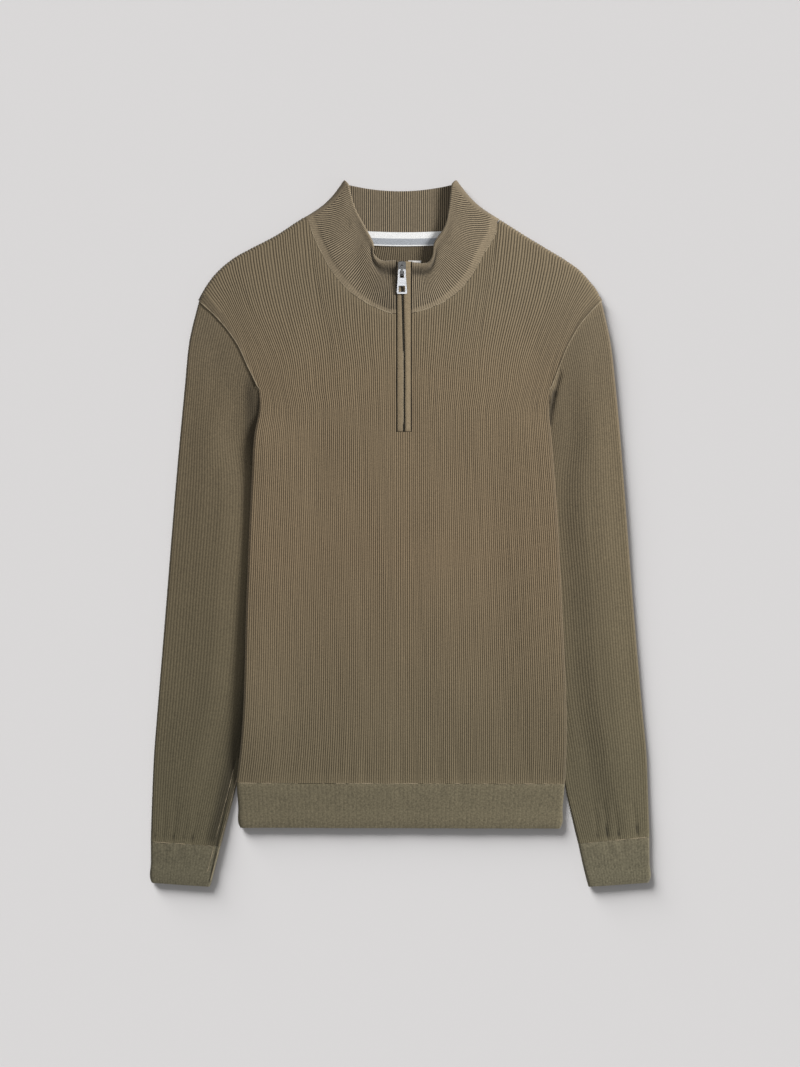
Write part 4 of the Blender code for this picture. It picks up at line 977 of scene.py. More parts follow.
def make_back():
    ends = (SIDE_COLUMNS, BACK_END - SIDE_COLUMNS)
    neck_width = float(np.diff(back_x(np.array(ends), ARMHOLE[-1].y))[0])
    step = NECK_SPAN * NECK_RIB_WIDTH / neck_width
    middle = BACK_END / 2
    reach = step * NECK_RIBS / 2
    coarse = set(range(int(SIDE_COLUMNS) + 1)) | {BACK_END - s for s in range(SIDE_COLUMNS + 1)}
    coarse |= {SIDE_COLUMNS + NECK_SPAN * k / 24 for k in range(1, 24)}
    outside = {c for c in coarse if abs(c - middle) > reach + 0.02}
    fine = outside | {middle - reach + step * k / 2 for k in range(2 * NECK_RIBS + 1)}
    columns = np.array(sorted({round(c, 4) for c in fine}))
    rough = outside | {middle - reach, middle, middle + reach}
    under_columns = np.array(sorted({round(c, 4) for c in rough}))
    counts = (4, 8, 5, 3, 2, 2) + (4, 4, 4, 6) + (1,) * len(TURNS)
    at_neck = (columns > ends[0]) & (columns < ends[1])
    top_control = [back_control(row, columns, 1) for row in range(LEVEL_ROWS + len(TURNS))]
    low_control = [back_control(row, under_columns, 0) for row in range(LEVEL_ROWS + len(TURNS))]
    for control, places in ((top_control, columns), (low_control, under_columns)):
        neck = (places > ends[0]) & (places < ends[1])
        for row in range(LEVEL_ROWS, len(control)):
            last = control[LEVEL_ROWS - 1]
            onward = (last - control[LEVEL_ROWS - 2]) * 0.05 * (row - LEVEL_ROWS + 1)
            control[row][neck] = (last + onward)[neck]
    face = loft(np.array(top_control), counts)
    under = loft(np.array(low_control), counts)
    under[..., 2] = np.maximum(under[..., 2], 0.0)
    rib_place = (columns - (middle - reach)) / step
    in_ribs = (rib_place >= 0) & (rib_place <= NECK_RIBS)
    ribbed = np.where(in_ribs, rib_shape(rib_place), 0.0)
    row_number = np.arange(len(face))[:, None]
    last_level = sum(counts[:LEVEL_ROWS - 1])
    shown = smooth((row_number - (last_level - 9)) / 4.0)
    shown = shown * smooth(last_level + 0.5 - row_number + 0.4)
    face[..., 2] += np.where(at_neck[None, :], ribbed[None, :] * 0.7 * shown, 0.0)
    whole = [(0.0, round(BACK_END, 4))]
    shoulders = [(0.0, float(ends[0])), (round(ends[1], 4), round(BACK_END, 4))]
    strips = [whole] * last_level + [shoulders] * len(TURNS)
    x = face[last_level // 2, :, 0]
    ribs = np.where(in_ribs, rib_place / 2, (x - x[0]) / RIB_WIDTH)
    # Painted shade: the back's inside at the neck, between the collar's flaps, is darkened.
    worn = -0.4 * at_neck[None, :] * smooth((row_number - (last_level - 9)) / 5.0)
    return KnitWall("back_panel", face, columns, under, under_columns, strips, ribs, worn).piece


# ------------------------------------------------------------ tubes
def tube_section(columns, sizes, width, height, inner_height, level=None):
    """Distance from the outer edge and height of a flattened tube's columns."""
    fold, top, under = sizes
    top_end = fold + top
    inner_end = top_end + fold
    count = inner_end + under
    outer = height / 2
    inner = inner_height / 2
    turn = np.pi * (1.0 - columns / fold)
    share = (columns - fold) / top
    reach = mix(outer, width - inner, share)
    lift = level(reach, width - reach) if level else mix(height, inner_height, share)
    far = np.pi * (columns - top_end) / fold
    rest = (columns - inner_end) / (count - inner_end)
    cases = [columns <= fold, columns < top_end, columns <= inner_end]
    places = np.select(cases, [outer - outer * np.sin(turn), reach,
                               width - inner + inner * np.sin(far)],
                       mix(width - inner, outer, rest))
    heights = np.select(cases, [outer + outer * np.cos(turn), lift,
                                inner + inner * np.cos(far)], 0.0)
    return places, heights


def on_path(path, distance):
    """Plan points on a path at these distances from its start."""
    path = np.array(path)
    steps = np.linalg.norm(np.diff(path, axis=0), axis=1)
    reach = np.concatenate([[0.0], np.cumsum(steps)])
    return np.interp(distance, reach, path[:, 0]), np.interp(distance, reach, path[:, 1])


def path_length(path):
    return float(np.linalg.norm(np.diff(np.array(path), axis=0), axis=1).sum())


def armhole_path(side_name):
    """The sleeve's first ring in plan, from the shoulder to inside the underarm."""
    sign = sign_of(side_name)
    seam = [np.array((getattr(edge, side_name), edge.y)) for edge in reversed(ARMHOLE)]
    top_x, top_y, _, _ = shoulder_fold(np.array([seam[0][0]]), 1.0)
    seam[0] = np.array((top_x[0], top_y[0]))
    last = seam[-1] - seam[-2]
    seam[-1] = seam[-1] - last / np.linalg.norm(last) * UNDERARM_ROOM
    seam = [point + np.array((sign * ARMHOLE_GAP[0], ARMHOLE_GAP[1])) for point in seam]
    seam[-1] = seam[-1] + np.array((-sign * UNDERARM_TUCK, -0.3))
    return seam + [seam[-1] + np.array((-sign * UNDERARM_LAP, -0.4))]


def by_width(path, distance):
    """The distances moved along a path so that they lie mostly at even steps across."""
    points = np.array(path)
    steps = np.linalg.norm(np.diff(points, axis=0), axis=1)
    reach = np.concatenate([[0.0], np.cumsum(steps)])
    across = np.abs(points[:, 0] - points[0, 0])
    even = np.interp(distance / reach[-1] * across[-1], across, reach)
    return mix(distance, even, 0.7)


# Columns of a tube: round each fold, over the top and along the underside
SLEEVE_SIZES = (10, 64, 4)
CUFF_SIZES = (6, 40, 6)
HEM_SIZES = (6, 150, 12)
# Rows from one ring to the next
SLEEVE_COUNTS = (9, 6, 5, 8, 15, 16, 8, 5, 9)
CUFF_COUNTS = (14, 12, 5)
HEM_COUNTS = (14, 12, 5)


def tube_columns(sizes, step):
    """A tube's columns, at this step over the top and whole along the underside."""
    fold, top, under = sizes
    over = 2 * fold + top
    return np.concatenate([np.arange(0, over, step), np.arange(over, over + under + 1)])


def tube(name, control, counts, columns, sizes, wall, rib, creases, uneven, worn_ends,
         inner_step, painted_light_and_shade=0.0, plain=0.0):
    """A knitted tube lofted through its control rings."""
    grid = loft(control, counts)
    grid[..., 2] = np.maximum(grid[..., 2], 0.0)
    grid[:, -1] = grid[:, 0]
    normal = normals_of(grid, round_it=True)
    if (normal[len(grid) // 2, len(columns) // 3, 2]) < 0:
        normal = -normal
    up = smooth((normal[..., 2] - 0.1) / 0.5)
    creased = crease_field(creases, grid[..., 0], grid[..., 1]) * up
    seed, amount, across, lengthways = uneven
    creased = creased + amount * up * wobble(seed, grid[..., 0] / across, grid[..., 1] / lengthways)
    crease_shade = crease_field(PAINTED_SHADE_LINES, grid[..., 0], grid[..., 1]) * up
    pale = crease_field(PALE_LINES, grid[..., 0], grid[..., 1]) * up
    row_number = np.arange(len(grid))[:, None]
    ends = smooth((row_number + 0.4) / 3.0) * smooth((len(grid) - 0.6 - row_number) / 3.0)
    along = run_length(grid)
    ribbed = 0.0
    if rib:
        rib_count = np.round(columns / 2.0)[None, :]
        height = rib * uneven_ribs(seed + 1, rib_count, grid[..., 1])
        seam = smooth((along + 1.0) / 3.5) * smooth((along[-1] - along + 1.0) / 3.5)
        ribbed = rib_shape(columns)[None, :] * height * (0.35 + 0.65 * seam)
        ribbed = ribbed * (normal[..., 2] > -0.3)
        creased = creased * (0.25 + 0.75 * ends)
    creased = creased - 0.8 * crease_shade
    outer = grid + normal * (ribbed + creased)[..., None]
    outer[..., 2] = np.maximum(outer[..., 2], 0.0)
    outer[:, -1] = outer[:, 0]
    fold, top, under = sizes
    count = 2 * fold + top + under
    coarse = sorted({0, fold // 2, fold, fold + top, fold + top + fold // 2, 2 * fold + top, count}
                    | set(range(fold, fold + top, inner_step)) | {2 * fold + top + under // 2})
    at = [int(np.argmin(np.abs(columns - c))) for c in coarse]
    inner = (grid + normal * (creased - wall)[..., None])[:, at]
    inner[..., 2] = np.maximum(inner[..., 2], wall * 0.9)
    inner[:, -1] = inner[:, 0]
    strips = [[(0.0, float(count))]] * (len(grid) - 1)
    start, stop = worn_ends
    worn = start * np.exp(-along / 3.5) + stop * np.exp(-(along[-1] - along) / 3.0)
    # Painted light and shade: a highlight on the tube's rounded sides, the sleeves' painted light
    # and shade, and painted shade along the dented lines; the pale seam lines are rubbed.
    worn = worn + 0.3 * np.exp(-((normal[..., 2] - 0.35) / 0.3) ** 2) + painted_light_and_shade + pale - 1.3 * crease_shade
    plain = np.clip(plain + 0.3 * wobble(seed + 2, grid[..., 0] / 22, grid[..., 1] / 40), 0.0, 1.0)
    return KnitWall(name, outer, columns, inner, coarse, strips, None, np.clip(worn, -1, 1),
                    round_it=True, plain=plain).piece


def make_sleeve(side_name):
    fold, top, _ = SLEEVE_SIZES
    columns = tube_columns(SLEEVE_SIZES, 0.5)

    def ring(path, height, inner_height, drop):
        def level(from_outer, from_inner):
            inside = mix(inner_height, height, smooth((from_inner - INNER_FLAT) / INNER_RISE))
            return inside - drop * (1.0 - smooth(from_outer / SLEEVE_ROUND))
        distance, z = tube_section(columns, SLEEVE_SIZES, path_length(path), height - drop,
                                   inner_height, level)
        if drop == 0:
            distance = by_width(path, distance)
        x, y = on_path(path, distance)
        return np.stack([x, y, z], axis=1)

    rings = [ring(armhole_path(side_name), CHEST_TOP, CHEST_TOP, 0.0)]
    lift = CUFF_LIFT[side_name]
    for number, station in enumerate(SLEEVE):
        last = 1.0 if number == len(SLEEVE) - 1 else 0.0
        outer = (getattr(station, "outer_" + side_name), station.outer_y + lift[0] * last)
        inner = (getattr(station, "inner_" + side_name), station.inner_y + lift[1] * last)
        drop = SLEEVE_DROP * (0.4 if last else min(1.0, (number + 1) / 3.0))
        rings.append(ring([outer, inner], station.height, station.inner_height, drop))
    uneven = (21 if side_name == "left" else 31, 0.35, 20.0, 60.0)
    # Painted light: the sleeves are painted paler towards their outer edges, the right one more,
    # and the left sleeve's inner part is painted dark as the body's shadow on it.
    highlit_outer_edge = 1.0 - smooth((columns - fold) / (top * 0.6))
    painted_light_and_shade = (0.15 if side_name == "left" else 0.28) * highlit_outer_edge * (columns < 2 * fold + top)
    if side_name == "left":
        painted_light_and_shade = painted_light_and_shade - 0.90 * smooth((columns - fold - top * 0.74) / (top * 0.16))
    return tube("knit_sleeve_" + side_name, np.array(rings), SLEEVE_COUNTS, columns, SLEEVE_SIZES,
                WALL, SLEEVE_RIB, SLEEVE_CREASES, uneven, (0.6, 0.5), 4, painted_light_and_shade[None, :], 0.4)


def make_cuff(side_name):
    columns = tube_columns(CUFF_SIZES, 0.5)
    rings = []
    for number, ring in enumerate(CUFF):
        lift = CUFF_LIFT[side_name] if number == 0 else (0.0, 0.0)
        path = [(getattr(ring, "outer_" + side_name), ring.outer_y + lift[0]),
                (getattr(ring, "inner_" + side_name), ring.inner_y + lift[1])]
        distance, z = tube_section(columns, CUFF_SIZES, path_length(path), ring.height, ring.height)
        x, y = on_path(path, distance)
        rings.append(np.stack([x, y, z + (CUFF[0].height - ring.height) / 2], axis=1))
    seed = 41 if side_name == "left" else 51
    return tube("knit_cuff_" + side_name, np.array(rings), CUFF_COUNTS, columns, CUFF_SIZES,
                BAND_WALL, 0.0, BAND_CREASES, (seed, 0.22, 16.0, 18.0), (0.5, 0.6), 4)


def make_hem():
    columns = tube_columns(HEM_SIZES, 1.0)
    rings = []
    for ring in HEM:
        width = ring.right - ring.left
        distance, z = tube_section(columns, HEM_SIZES, width, ring.height, ring.height)
        y = ring.y - HEM_TILT * (distance / width - 0.5)
        z = z + (HEM[0].height - ring.height) / 2
        rings.append(np.stack([ring.left + distance, y, z], axis=1))
    return tube("knit_hem_band", np.array(rings), HEM_COUNTS, columns, HEM_SIZES,
                BAND_WALL, 0.0, BAND_CREASES, (61, 0.22, 22.0, 26.0), (0.5, 0.6), 6)


# ------------------------------------------------------------ collar
def collar_base_path(side_name):
    """The collar's seam in plan, from the zip to the shoulder."""
    start_x = SLIT_LEFT_X if side_name == "left" else SLIT_RIGHT_X
    path = [(start_x, float(neckline_y(np.array(start_x))))]
    path += [(getattr(edge, side_name), edge.y) for edge in NECKLINE[:-1]]
    return path + [COLLAR_BASE_END[side_name]]


def fold_outward(side_name):
    """The way that the collar's fold points at this side."""
    sign = sign_of(side_name)
    return sign * FOLD_OUTWARD[0], FOLD_OUTWARD[1]


def collar_front(side_name, share, height):
    """Outer face of the collar's front half: share runs from the zip to the fold."""
    path = collar_base_path(side_name)
    x, y = on_path(path, share * path_length(path))
    table = COLLAR_TOP_LEFT if side_name == "left" else COLLAR_TOP_RIGHT
    top_x = lookup(table, "share", "x", share)
    top_y = lookup(table, "share", "y", share)
    reach = np.hypot(top_x - x, top_y - y)
    x = x + (top_x - x) / reach * GAP
    y = y + (top_y - y) / reach * GAP
    bow = COLLAR_SIDE_BOW * math.sin(math.pi * height)
    bow = bow * smooth((share - BOW_START) / (1.0 - BOW_START))
    out_x, out_y = fold_outward(side_name)
    z = mix(CHEST_TOP, lookup(table, "share", "z", share), height) + lip_height(share, height)
    return mix(x, top_x, height) - out_x * bow, mix(y, top_y, height) - out_y * bow, z


def lip_height(share, height):
    """The rolled lip beside the zip, the dip below it and the soft dip along the flap."""
    dip = lip_dip(share, height)
    lip = 1.5 * np.exp(-((height - mix(0.93, 0.97, smooth((share - 0.14) / 0.16))) / 0.055) ** 2)
    return lip * smooth((0.40 - share) / 0.16) - 1.5 * dip


def lip_dip(share, height):
    """1 along the bottom of the crease below the lip, which runs out up the flap."""
    place = mix(0.80, 0.895, smooth((share - 0.12) / 0.18))
    fade = mix(1.0, 0.25, smooth((share - 0.26) / 0.14)) * smooth((0.75 - share) / 0.2)
    return np.exp(-((height - place) / 0.07) ** 2) * fade


def back_top_y(x):
    """The collar's top edge at the back."""
    return BACK_TOP_Y + BACK_TOP_RISE * (x / BACK_TOP_HALF) ** 2


def collar_row(columns, height, thickness, side):
    """One row of the collar without its ribs, on its outer or inner face."""
    half = COLLAR_WALL / 2 * thickness
    points = np.zeros((len(columns), 3))
    middle = (BACK_START + BACK_STOP) / 2
    for name in ("left", "right"):
        mine = columns < middle if name == "left" else columns >= middle
        from_zip = columns if name == "left" else COLLAR_END - columns
        x, y, z = collar_front(name, np.minimum(from_zip / COLLAR_HALF, 1.0), height)
        z = z - COLLAR_WALL / 2 + (half if side == 0 else -half)
        end_x, end_y, top = (float(v) for v in collar_front(name, np.array(1.0), height))
        radius = top / 2
        angle = np.pi * (from_zip - COLLAR_HALF) / COLLAR_FOLD
        depth = COLLAR_WALL / 2 - half if side == 0 else COLLAR_WALL / 2 + half
        out_x, out_y = fold_outward(name)
        reach = radius - depth
        folded = from_zip > COLLAR_HALF
        x = np.where(folded, end_x + out_x * reach * np.sin(angle), x)
        y = np.where(folded, end_y + out_y * reach * np.sin(angle), y)
        z = np.where(folded, radius + reach * np.cos(angle), z)
        points[mine] = np.stack([x, y, z], axis=1)[mine]
    back = (columns > BACK_START) & (columns < BACK_STOP)
    share = (columns - BACK_START) / COLLAR_BACK
    left_x, left_y, _ = (float(v) for v in collar_front("left", np.array(1.0), height))
    right_x, right_y, _ = (float(v) for v in collar_front("right", np.array(1.0), height))
    x = mix(left_x, right_x, share)
    ends_y = mix(back_neck_y(left_x), back_top_y(left_x), height)
    sag = mix(back_neck_y(x), back_top_y(x), height) - ends_y
    z = COLLAR_WALL / 2 + (-half if side == 0 else half) + 0.0 * x
    flat = np.stack([x, mix(left_y, right_y, share) + sag, z], axis=1)
    points[back] = flat[back]
    return points


COLLAR_HEIGHTS = (0.0, 0.01, *(0.025 + 0.93 * k / 52 for k in range(53)),
                  0.966, 0.975, 0.983, 0.991, 0.997, 1.0)
LIP_START = 0.965
BACK_RIB_WIDTH = 2.35
BASE_RIBS = 54
# The ribs lean out: where on the collar's top edge the rib from each place on its base ends
RIB_ENDS = {
    "left": ((0, 0), (0.08, 0.06), (0.25, 0.155), (0.42, 0.31), (0.495, 0.38), (0.653, 0.48),
             (0.776, 0.58), (0.96, 0.70), (1.27, 1.0), (1.7, 1.42)),
    "right": ((0, 0), (0.08, 0.06), (0.25, 0.15), (0.42, 0.26), (0.554, 0.34), (0.69, 0.42),
              (0.83, 0.51), (0.98, 0.645), (1.33, 1.0), (1.8, 1.48)),
}
# Where the collar's ribs are pressed flat
Spot = namedtuple("Spot", "x y spread amount")
SMOOTH_SPOTS = (Spot(-45.7, 328.0, 80.0, 1.0), Spot(61.0, 348.0, 60.0, 0.8))


def collar_ribs(columns, heights):
    """How many ribs lie between the zip and each place on the collar."""
    places = np.zeros((len(heights), len(columns)))
    for name in ("left", "right"):
        from_zip = columns if name == "left" else COLLAR_END - columns
        mine = from_zip <= COLLAR_END / 2
        base, top = zip(*RIB_ENDS[name])
        starts = np.linspace(0.0, base[-1], 120)
        ends = curve(base, top, starts)
        share = np.minimum(from_zip / COLLAR_HALF, 1.0)
        for row, height in enumerate(heights):
            start = np.interp(share, mix(starts, ends, height), starts)
            place = start * BASE_RIBS + np.maximum(0.0, from_zip - COLLAR_HALF) / 2
            places[row, mine] = place[mine]
    return places


def make_collar():
    parts = ((0, COLLAR_HALF, 0.5), (COLLAR_HALF, BACK_START, 1.0), (BACK_START, BACK_STOP, 2.0),
             (BACK_STOP, RIGHT_START, 1.0), (RIGHT_START, COLLAR_END + 0.25, 0.5))
    columns = np.concatenate([np.arange(*part) for part in parts])
    faces = []
    for side in (0, 1):
        rows = []
        for height in COLLAR_HEIGHTS:
            rounded = max(0.0, (height - LIP_START) / (1.0 - LIP_START))
            thickness = math.sqrt(max(0.03, 1.0 - rounded * rounded))
            rows.append(collar_row(columns, height, thickness, side))
        faces.append(np.array(rows))
    outer, inner = faces
    normal = normals_of(outer)
    if normal[4, 60, 2] < 0:
        normal = -normal
    heights = np.array(COLLAR_HEIGHTS)[:, None]
    ribs = collar_ribs(columns, COLLAR_HEIGHTS)
    shape = rib_shape(2.0 * ribs)
    along = run_length(outer)
    from_zip = np.minimum(columns, COLLAR_END - columns)[None, :]
    strip = mix(4.5, 9.0, smooth(from_zip / COLLAR_HALF * 1.6))
    base = 1.0 - smooth((along - strip * 0.7) / (strip * 0.5))
    x, y = outer[..., 0], outer[..., 1]
    smoothed = sum(spot.amount * np.exp(-((x - spot.x) ** 2 + (y - spot.y) ** 2) / spot.spread)
                   for spot in SMOOTH_SPOTS)
    fold = (from_zip > COLLAR_HALF - 1) & (from_zip < BACK_START)
    plain = 0.9 * base + 0.8 * smoothed + 0.5 * smooth((heights - 0.78) / 0.15)
    plain = np.clip(plain + 1.0 * fold, 0.0, 1.0)
    plain = np.where(from_zip > BACK_START, 0.0, plain)
    amount = COLLAR_RIB * (1.0 - 0.8 * plain)
    amount = amount * (1.0 + 0.12 * wobble(71, columns[None, :] * 0.8, heights * 9.0))
    top_front = normal[..., 2] > -0.3
    lumps = 0.45 * wobble(73, columns[None, :] / 11.0, heights * 4.0) * smooth(heights / 0.2)
    raised = shape * amount * top_front + lumps * (normal[..., 2] > 0.3)
    outer = outer + normal * raised[..., None]
    front = ~((columns >= COLLAR_HALF) & (columns <= RIGHT_START))[None, :]
    inner[..., 2] += np.where(front & (heights > 0.6), lumps, 0.0) * smooth((heights - 0.6) / 0.2)
    strips = [[(0.0, float(COLLAR_END))]] * (len(COLLAR_HEIGHTS) - 1)
    back = ((columns > BACK_START) & (columns < BACK_STOP))[None, :]
    rim = np.exp(-(along[-1] - along) / 1.6) * (from_zip < BACK_START)
    dip = lip_dip(np.minimum(from_zip / COLLAR_HALF, 1.0), heights)
    flap_shadow = np.exp(-(columns - BACK_START) / 9.0) + np.exp(-(BACK_STOP - columns) / 7.0)
    # Painted shade and light: the crease below the lip and the left flap beside the zip are painted
    # dark, the left flap a little paler and the right flap darker overall.
    worn = 0.8 * base + 0.7 * rim - 0.95 * dip + np.where(columns < COLLAR_END / 2, 0.06, -0.14)
    shaded = (columns < COLLAR_HALF) * smooth(1.0 - columns / 38.0)
    worn = np.clip(worn - 0.55 * shaded, -1.0, 1.0)
    # Painted shade: the collar's inside at the back is darkened, most beside the flaps where their
    # shadow falls.
    worn = np.where(back, -0.3 - 0.35 * np.where(back, flap_shadow[None, :], 0.0), worn)
    inner_ribs = np.where(back, inner[..., 0] / BACK_RIB_WIDTH, ribs)
    return KnitWall("knit_collar", outer, columns, inner, columns, strips, ribs, worn,
                    inner_ribs=inner_ribs, plain=plain).piece


# ------------------------------------------------------------ zip
def zip_top(y):
    """Height of the front or the collar beside the zip."""
    share = np.clip((y - NECKLINE[0].y) / (ZIP_TOP_Y - NECKLINE[0].y), 0.0, 1.0)
    return mix(CHEST_TOP, COLLAR_TOP_LEFT[0].z, share)


def zip_x(y):
    """The zip's middle, which lies at a slight slant."""
    high, low = ZIP_BEND_Y
    return mix(ZIP_X_LOW, ZIP_X_TOP, np.clip((y - low) / (high - low), 0.0, 1.0))


def make_band(side_name):
    """A puffy knit band from the slit's bottom to the top of the zip."""
    ys = np.concatenate([[SLIT_BOTTOM_Y + 0.4, SLIT_BOTTOM_Y + 1.2],
                         np.arange(116.0, ZIP_TOP_Y - 3.0, 3.0),
                         [ZIP_TOP_Y - 1.6, ZIP_TOP_Y - 0.6, ZIP_TOP_Y]])
    columns = np.arange(0, 17)
    angle = np.pi * columns / 16
    rows = []
    flat_rows = []
    for y in ys:
        if side_name == "left":
            low_x, high_x = SLIT_LEFT_X + BAND_SIDE_GAP["left"], zip_x(y) - BAND_GAP["left"]
        else:
            low_x, high_x = zip_x(y) + BAND_GAP["right"], SLIT_RIGHT_X - BAND_SIDE_GAP["right"]
        end = smooth((min(y - ys[0], ys[-1] - y) + 0.8) / 2.4)
        puff = 0.12 * math.sin(y / 4.1) + 0.1 * math.sin(y / 9.3 + 1.0)
        bottom = zip_top(y) + BAND_PROUD - BAND_HEIGHT
        x = mix(low_x, high_x, 0.5 - 0.5 * np.cos(angle))
        rise = (0.5 + 0.5 * end) * BAND_HEIGHT * mix(0.6, 1.0 + puff * 0.4, np.sin(angle) ** 0.6)
        rows.append(np.stack([x, y + 0.0 * x, bottom + rise], axis=1))
        flat_rows.append(np.stack([x[[0, 8, 16]], y + 0.0 * x[:3], bottom + 0.0 * x[:3]], axis=1))
    strips = [[(0.0, 16.0)]] * (len(ys) - 1)
    # Painted highlight: each band is painted paler along its middle, the right band much more than
    # the left.
    amount = 0.15 if side_name == "left" else 0.75
    worn = amount * np.exp(-((columns - 8) / 4.0) ** 2)[None, :] + 0.0 * ys[:, None]
    return KnitWall("zip_band_" + side_name, np.array(rows), columns, np.array(flat_rows),
                    [0, 8, 16], strips, columns / 2.0, worn).piece


ZIP_TAPE_LAP = 1.2
ZIP_TAPE_WALL = 0.8
TOOTH_PITCH = 1.35
TOOTH_HALF = (0.55, 0.42, 0.5)
TOOTH_OFF = 0.22


def make_tape_under_zip():
    """The zip's tape behind the slit and the bands."""
    ys = np.array([SLIT_BOTTOM_Y + 0.4, 130.0, 160.0, 200.0, 230.0, 244.2, 270.0, 290.0, ZIP_TOP_Y])
    columns = np.arange(0, 9)
    x = mix(SLIT_LEFT_X - ZIP_TAPE_LAP, SLIT_RIGHT_X + ZIP_TAPE_LAP, columns / 8)
    faces = []
    for offset in (0.0, -ZIP_TAPE_WALL):
        z = zip_top(ys) + BAND_PROUD - BAND_HEIGHT - GAP + offset
        faces.append([np.stack([x, y + 0.0 * x, level + 0.0 * x], axis=1)
                      for y, level in zip(ys, z)])
    return even_strip("woven_zip_tape", faces[0], faces[1], columns, columns.astype(float))


def make_teeth():
    """Small moulded teeth along both edges of the slit, set alternately."""
    half = TOOTH_HALF
    points = []
    faces = []
    count = int((ZIP_TOP_Y - 12.0 - SLIT_BOTTOM_Y) / TOOTH_PITCH)
    for number in range(2 * count):
        side = -1.0 if number % 2 else 1.0
        y = SLIT_BOTTOM_Y + 2.0 + number * TOOTH_PITCH / 2
        x = float(zip_x(y)) + side * TOOTH_OFF
        z = float(zip_top(y)) + BAND_PROUD - BAND_HEIGHT + 0.35
        start = len(points)
        for level, inset in ((-1.0, 0.0), (0.35, 0.0), (1.0, 0.22)):
            for corner_x, corner_y in ((-1, -1), (1, -1), (1, 1), (-1, 1)):
                points.append((x + corner_x * (half[0] - inset), y + corner_y * (half[1] - inset),
                               z + level * half[2]))
        faces.append((start + 3, start + 2, start + 1, start))
        faces.append((start + 8, start + 9, start + 10, start + 11))
        for ring in (0, 4):
            for k in range(4):
                a, b = start + ring + k, start + ring + (k + 1) % 4
                faces.append((a, b, b + 4, a + 4))
    return plain_mesh("zip_teeth", points, faces, 40.0)


# ------------------------------------------------------------ seams
def even_path(points, step):
    """Points at even steps along a smooth line through these points."""
    points = np.array(points, dtype=float)
    line = loft(points[:, None, :], (12,) * (len(points) - 1))[:, 0]
    reach = run_length(line[:, None, :])[:, 0]
    places = np.linspace(0.0, reach[-1], max(2, int(reach[-1] / step) + 1))
    return np.stack([np.interp(places, reach, line[:, k]) for k in range(3)], axis=1), places


# A seam's thread: its radius, the length of a stitch and how far the row breaks up
Stitching = namedtuple("Stitching", "radius pitch broken")
ARMHOLE_STITCH = Stitching(0.65, 2.3, 0.35)
COLLAR_STITCH = Stitching(0.75, 2.6, 0.7)
CUFF_STITCH = Stitching(0.55, 2.4, 0.9)
SLEEVE_STITCH = Stitching(0.55, 2.2, 0.6)
HEM_STITCH = Stitching(0.65, 2.6, 1.0)
TAPE_EDGE_STITCH = Stitching(0.42, 3.1, 0.0)
THREAD_FLAT = 0.6
THREAD_SIDES = 8
# The two rows of the left sleeve's seam: their distance from its edge, and their ends
SLEEVE_SEAM_OFFSETS = (1.4, 7.4)
SLEEVE_SEAM_ENDS = (-386.0, -262.0)


def linked_seam(name, path, stitch):
    """A row of linked stitches: a thread that swells and leans with each stitch.

    A broken row sinks into the knit here and there.
    """
    radius, pitch, broken = stitch
    sides = THREAD_SIDES
    line, places = even_path(path, pitch / 6.0)
    tangent = np.gradient(line, axis=0)
    tangent /= np.linalg.norm(tangent, axis=1, keepdims=True)
    side = np.cross(tangent, (0.0, 0.0, 1.0))
    side /= np.linalg.norm(side, axis=1, keepdims=True)
    up = np.cross(side, tangent)
    ring = np.linspace(0.0, 2.0 * math.pi, sides, endpoint=False)
    uneven = 1.0 + 0.12 * wobble(81, places / 3.1, places / 7.7)
    swell = radius * uneven * (0.62 + 0.38 * np.abs(np.sin(np.pi * places / pitch)))
    swell = swell * mix(1.0, smooth(0.5 + 0.7 * wobble(83, places / 1.9, places / 6.3)), broken)
    taper = smooth(np.minimum(places, places[-1] - places) / (2.0 * radius) + 0.15)
    points = []
    for k in range(len(line)):
        lean = tangent[k] * pitch * 0.35
        for angle in ring:
            out = side[k] * math.cos(angle) + up[k] * math.sin(angle) * THREAD_FLAT
            points.append(line[k] + out * swell[k] * taper[k] + lean * math.cos(angle))
    faces = []
    for k in range(len(line) - 1):
        for j in range(sides):
            a, b = k * sides + j, k * sides + (j + 1) % sides
            faces.append((a, b, b + sides, a + sides))
    faces.append(tuple(range(sides - 1, -1, -1)))
    faces.append(tuple(range(len(points) - sides, len(points))))
    piece = plain_mesh(name, points, faces, 60.0)
    closed_outwards(piece.data)
    return piece


def collar_seam_path(side_name):
    shares = np.linspace(0.03, 0.93, 24)
    x, y, z = collar_front(side_name, shares, 0.0)
    return np.stack([x, y, z + 0.2], axis=1)


def slit_edge_path():
    """The edge of the zip's tape that shows beside the left band."""
    y = np.linspace(122.0, 202.0, 9)
    return np.stack([zip_x(y) - 0.9, y, zip_top(y) + BAND_PROUD - 1.1], axis=1)


def armhole_seam_path(side_name):
    seam = armhole_path(side_name)[:-1]
    lift = 1.5 if side_name == "left" else 0.65
    towards_front = 0.55 if side_name == "left" else -0.25
    places = [(x + towards_front, y + 0.1, CHEST_TOP + lift) for x, y in seam]
    places[0] = (seam[0][0], seam[0][1], CHEST_TOP - 2.6)
    first = (mix(seam[0][0], seam[1][0], 0.2), mix(seam[0][1], seam[1][1], 0.2), CHEST_TOP + 0.1)
    return [places[0], first, *places[1:]]


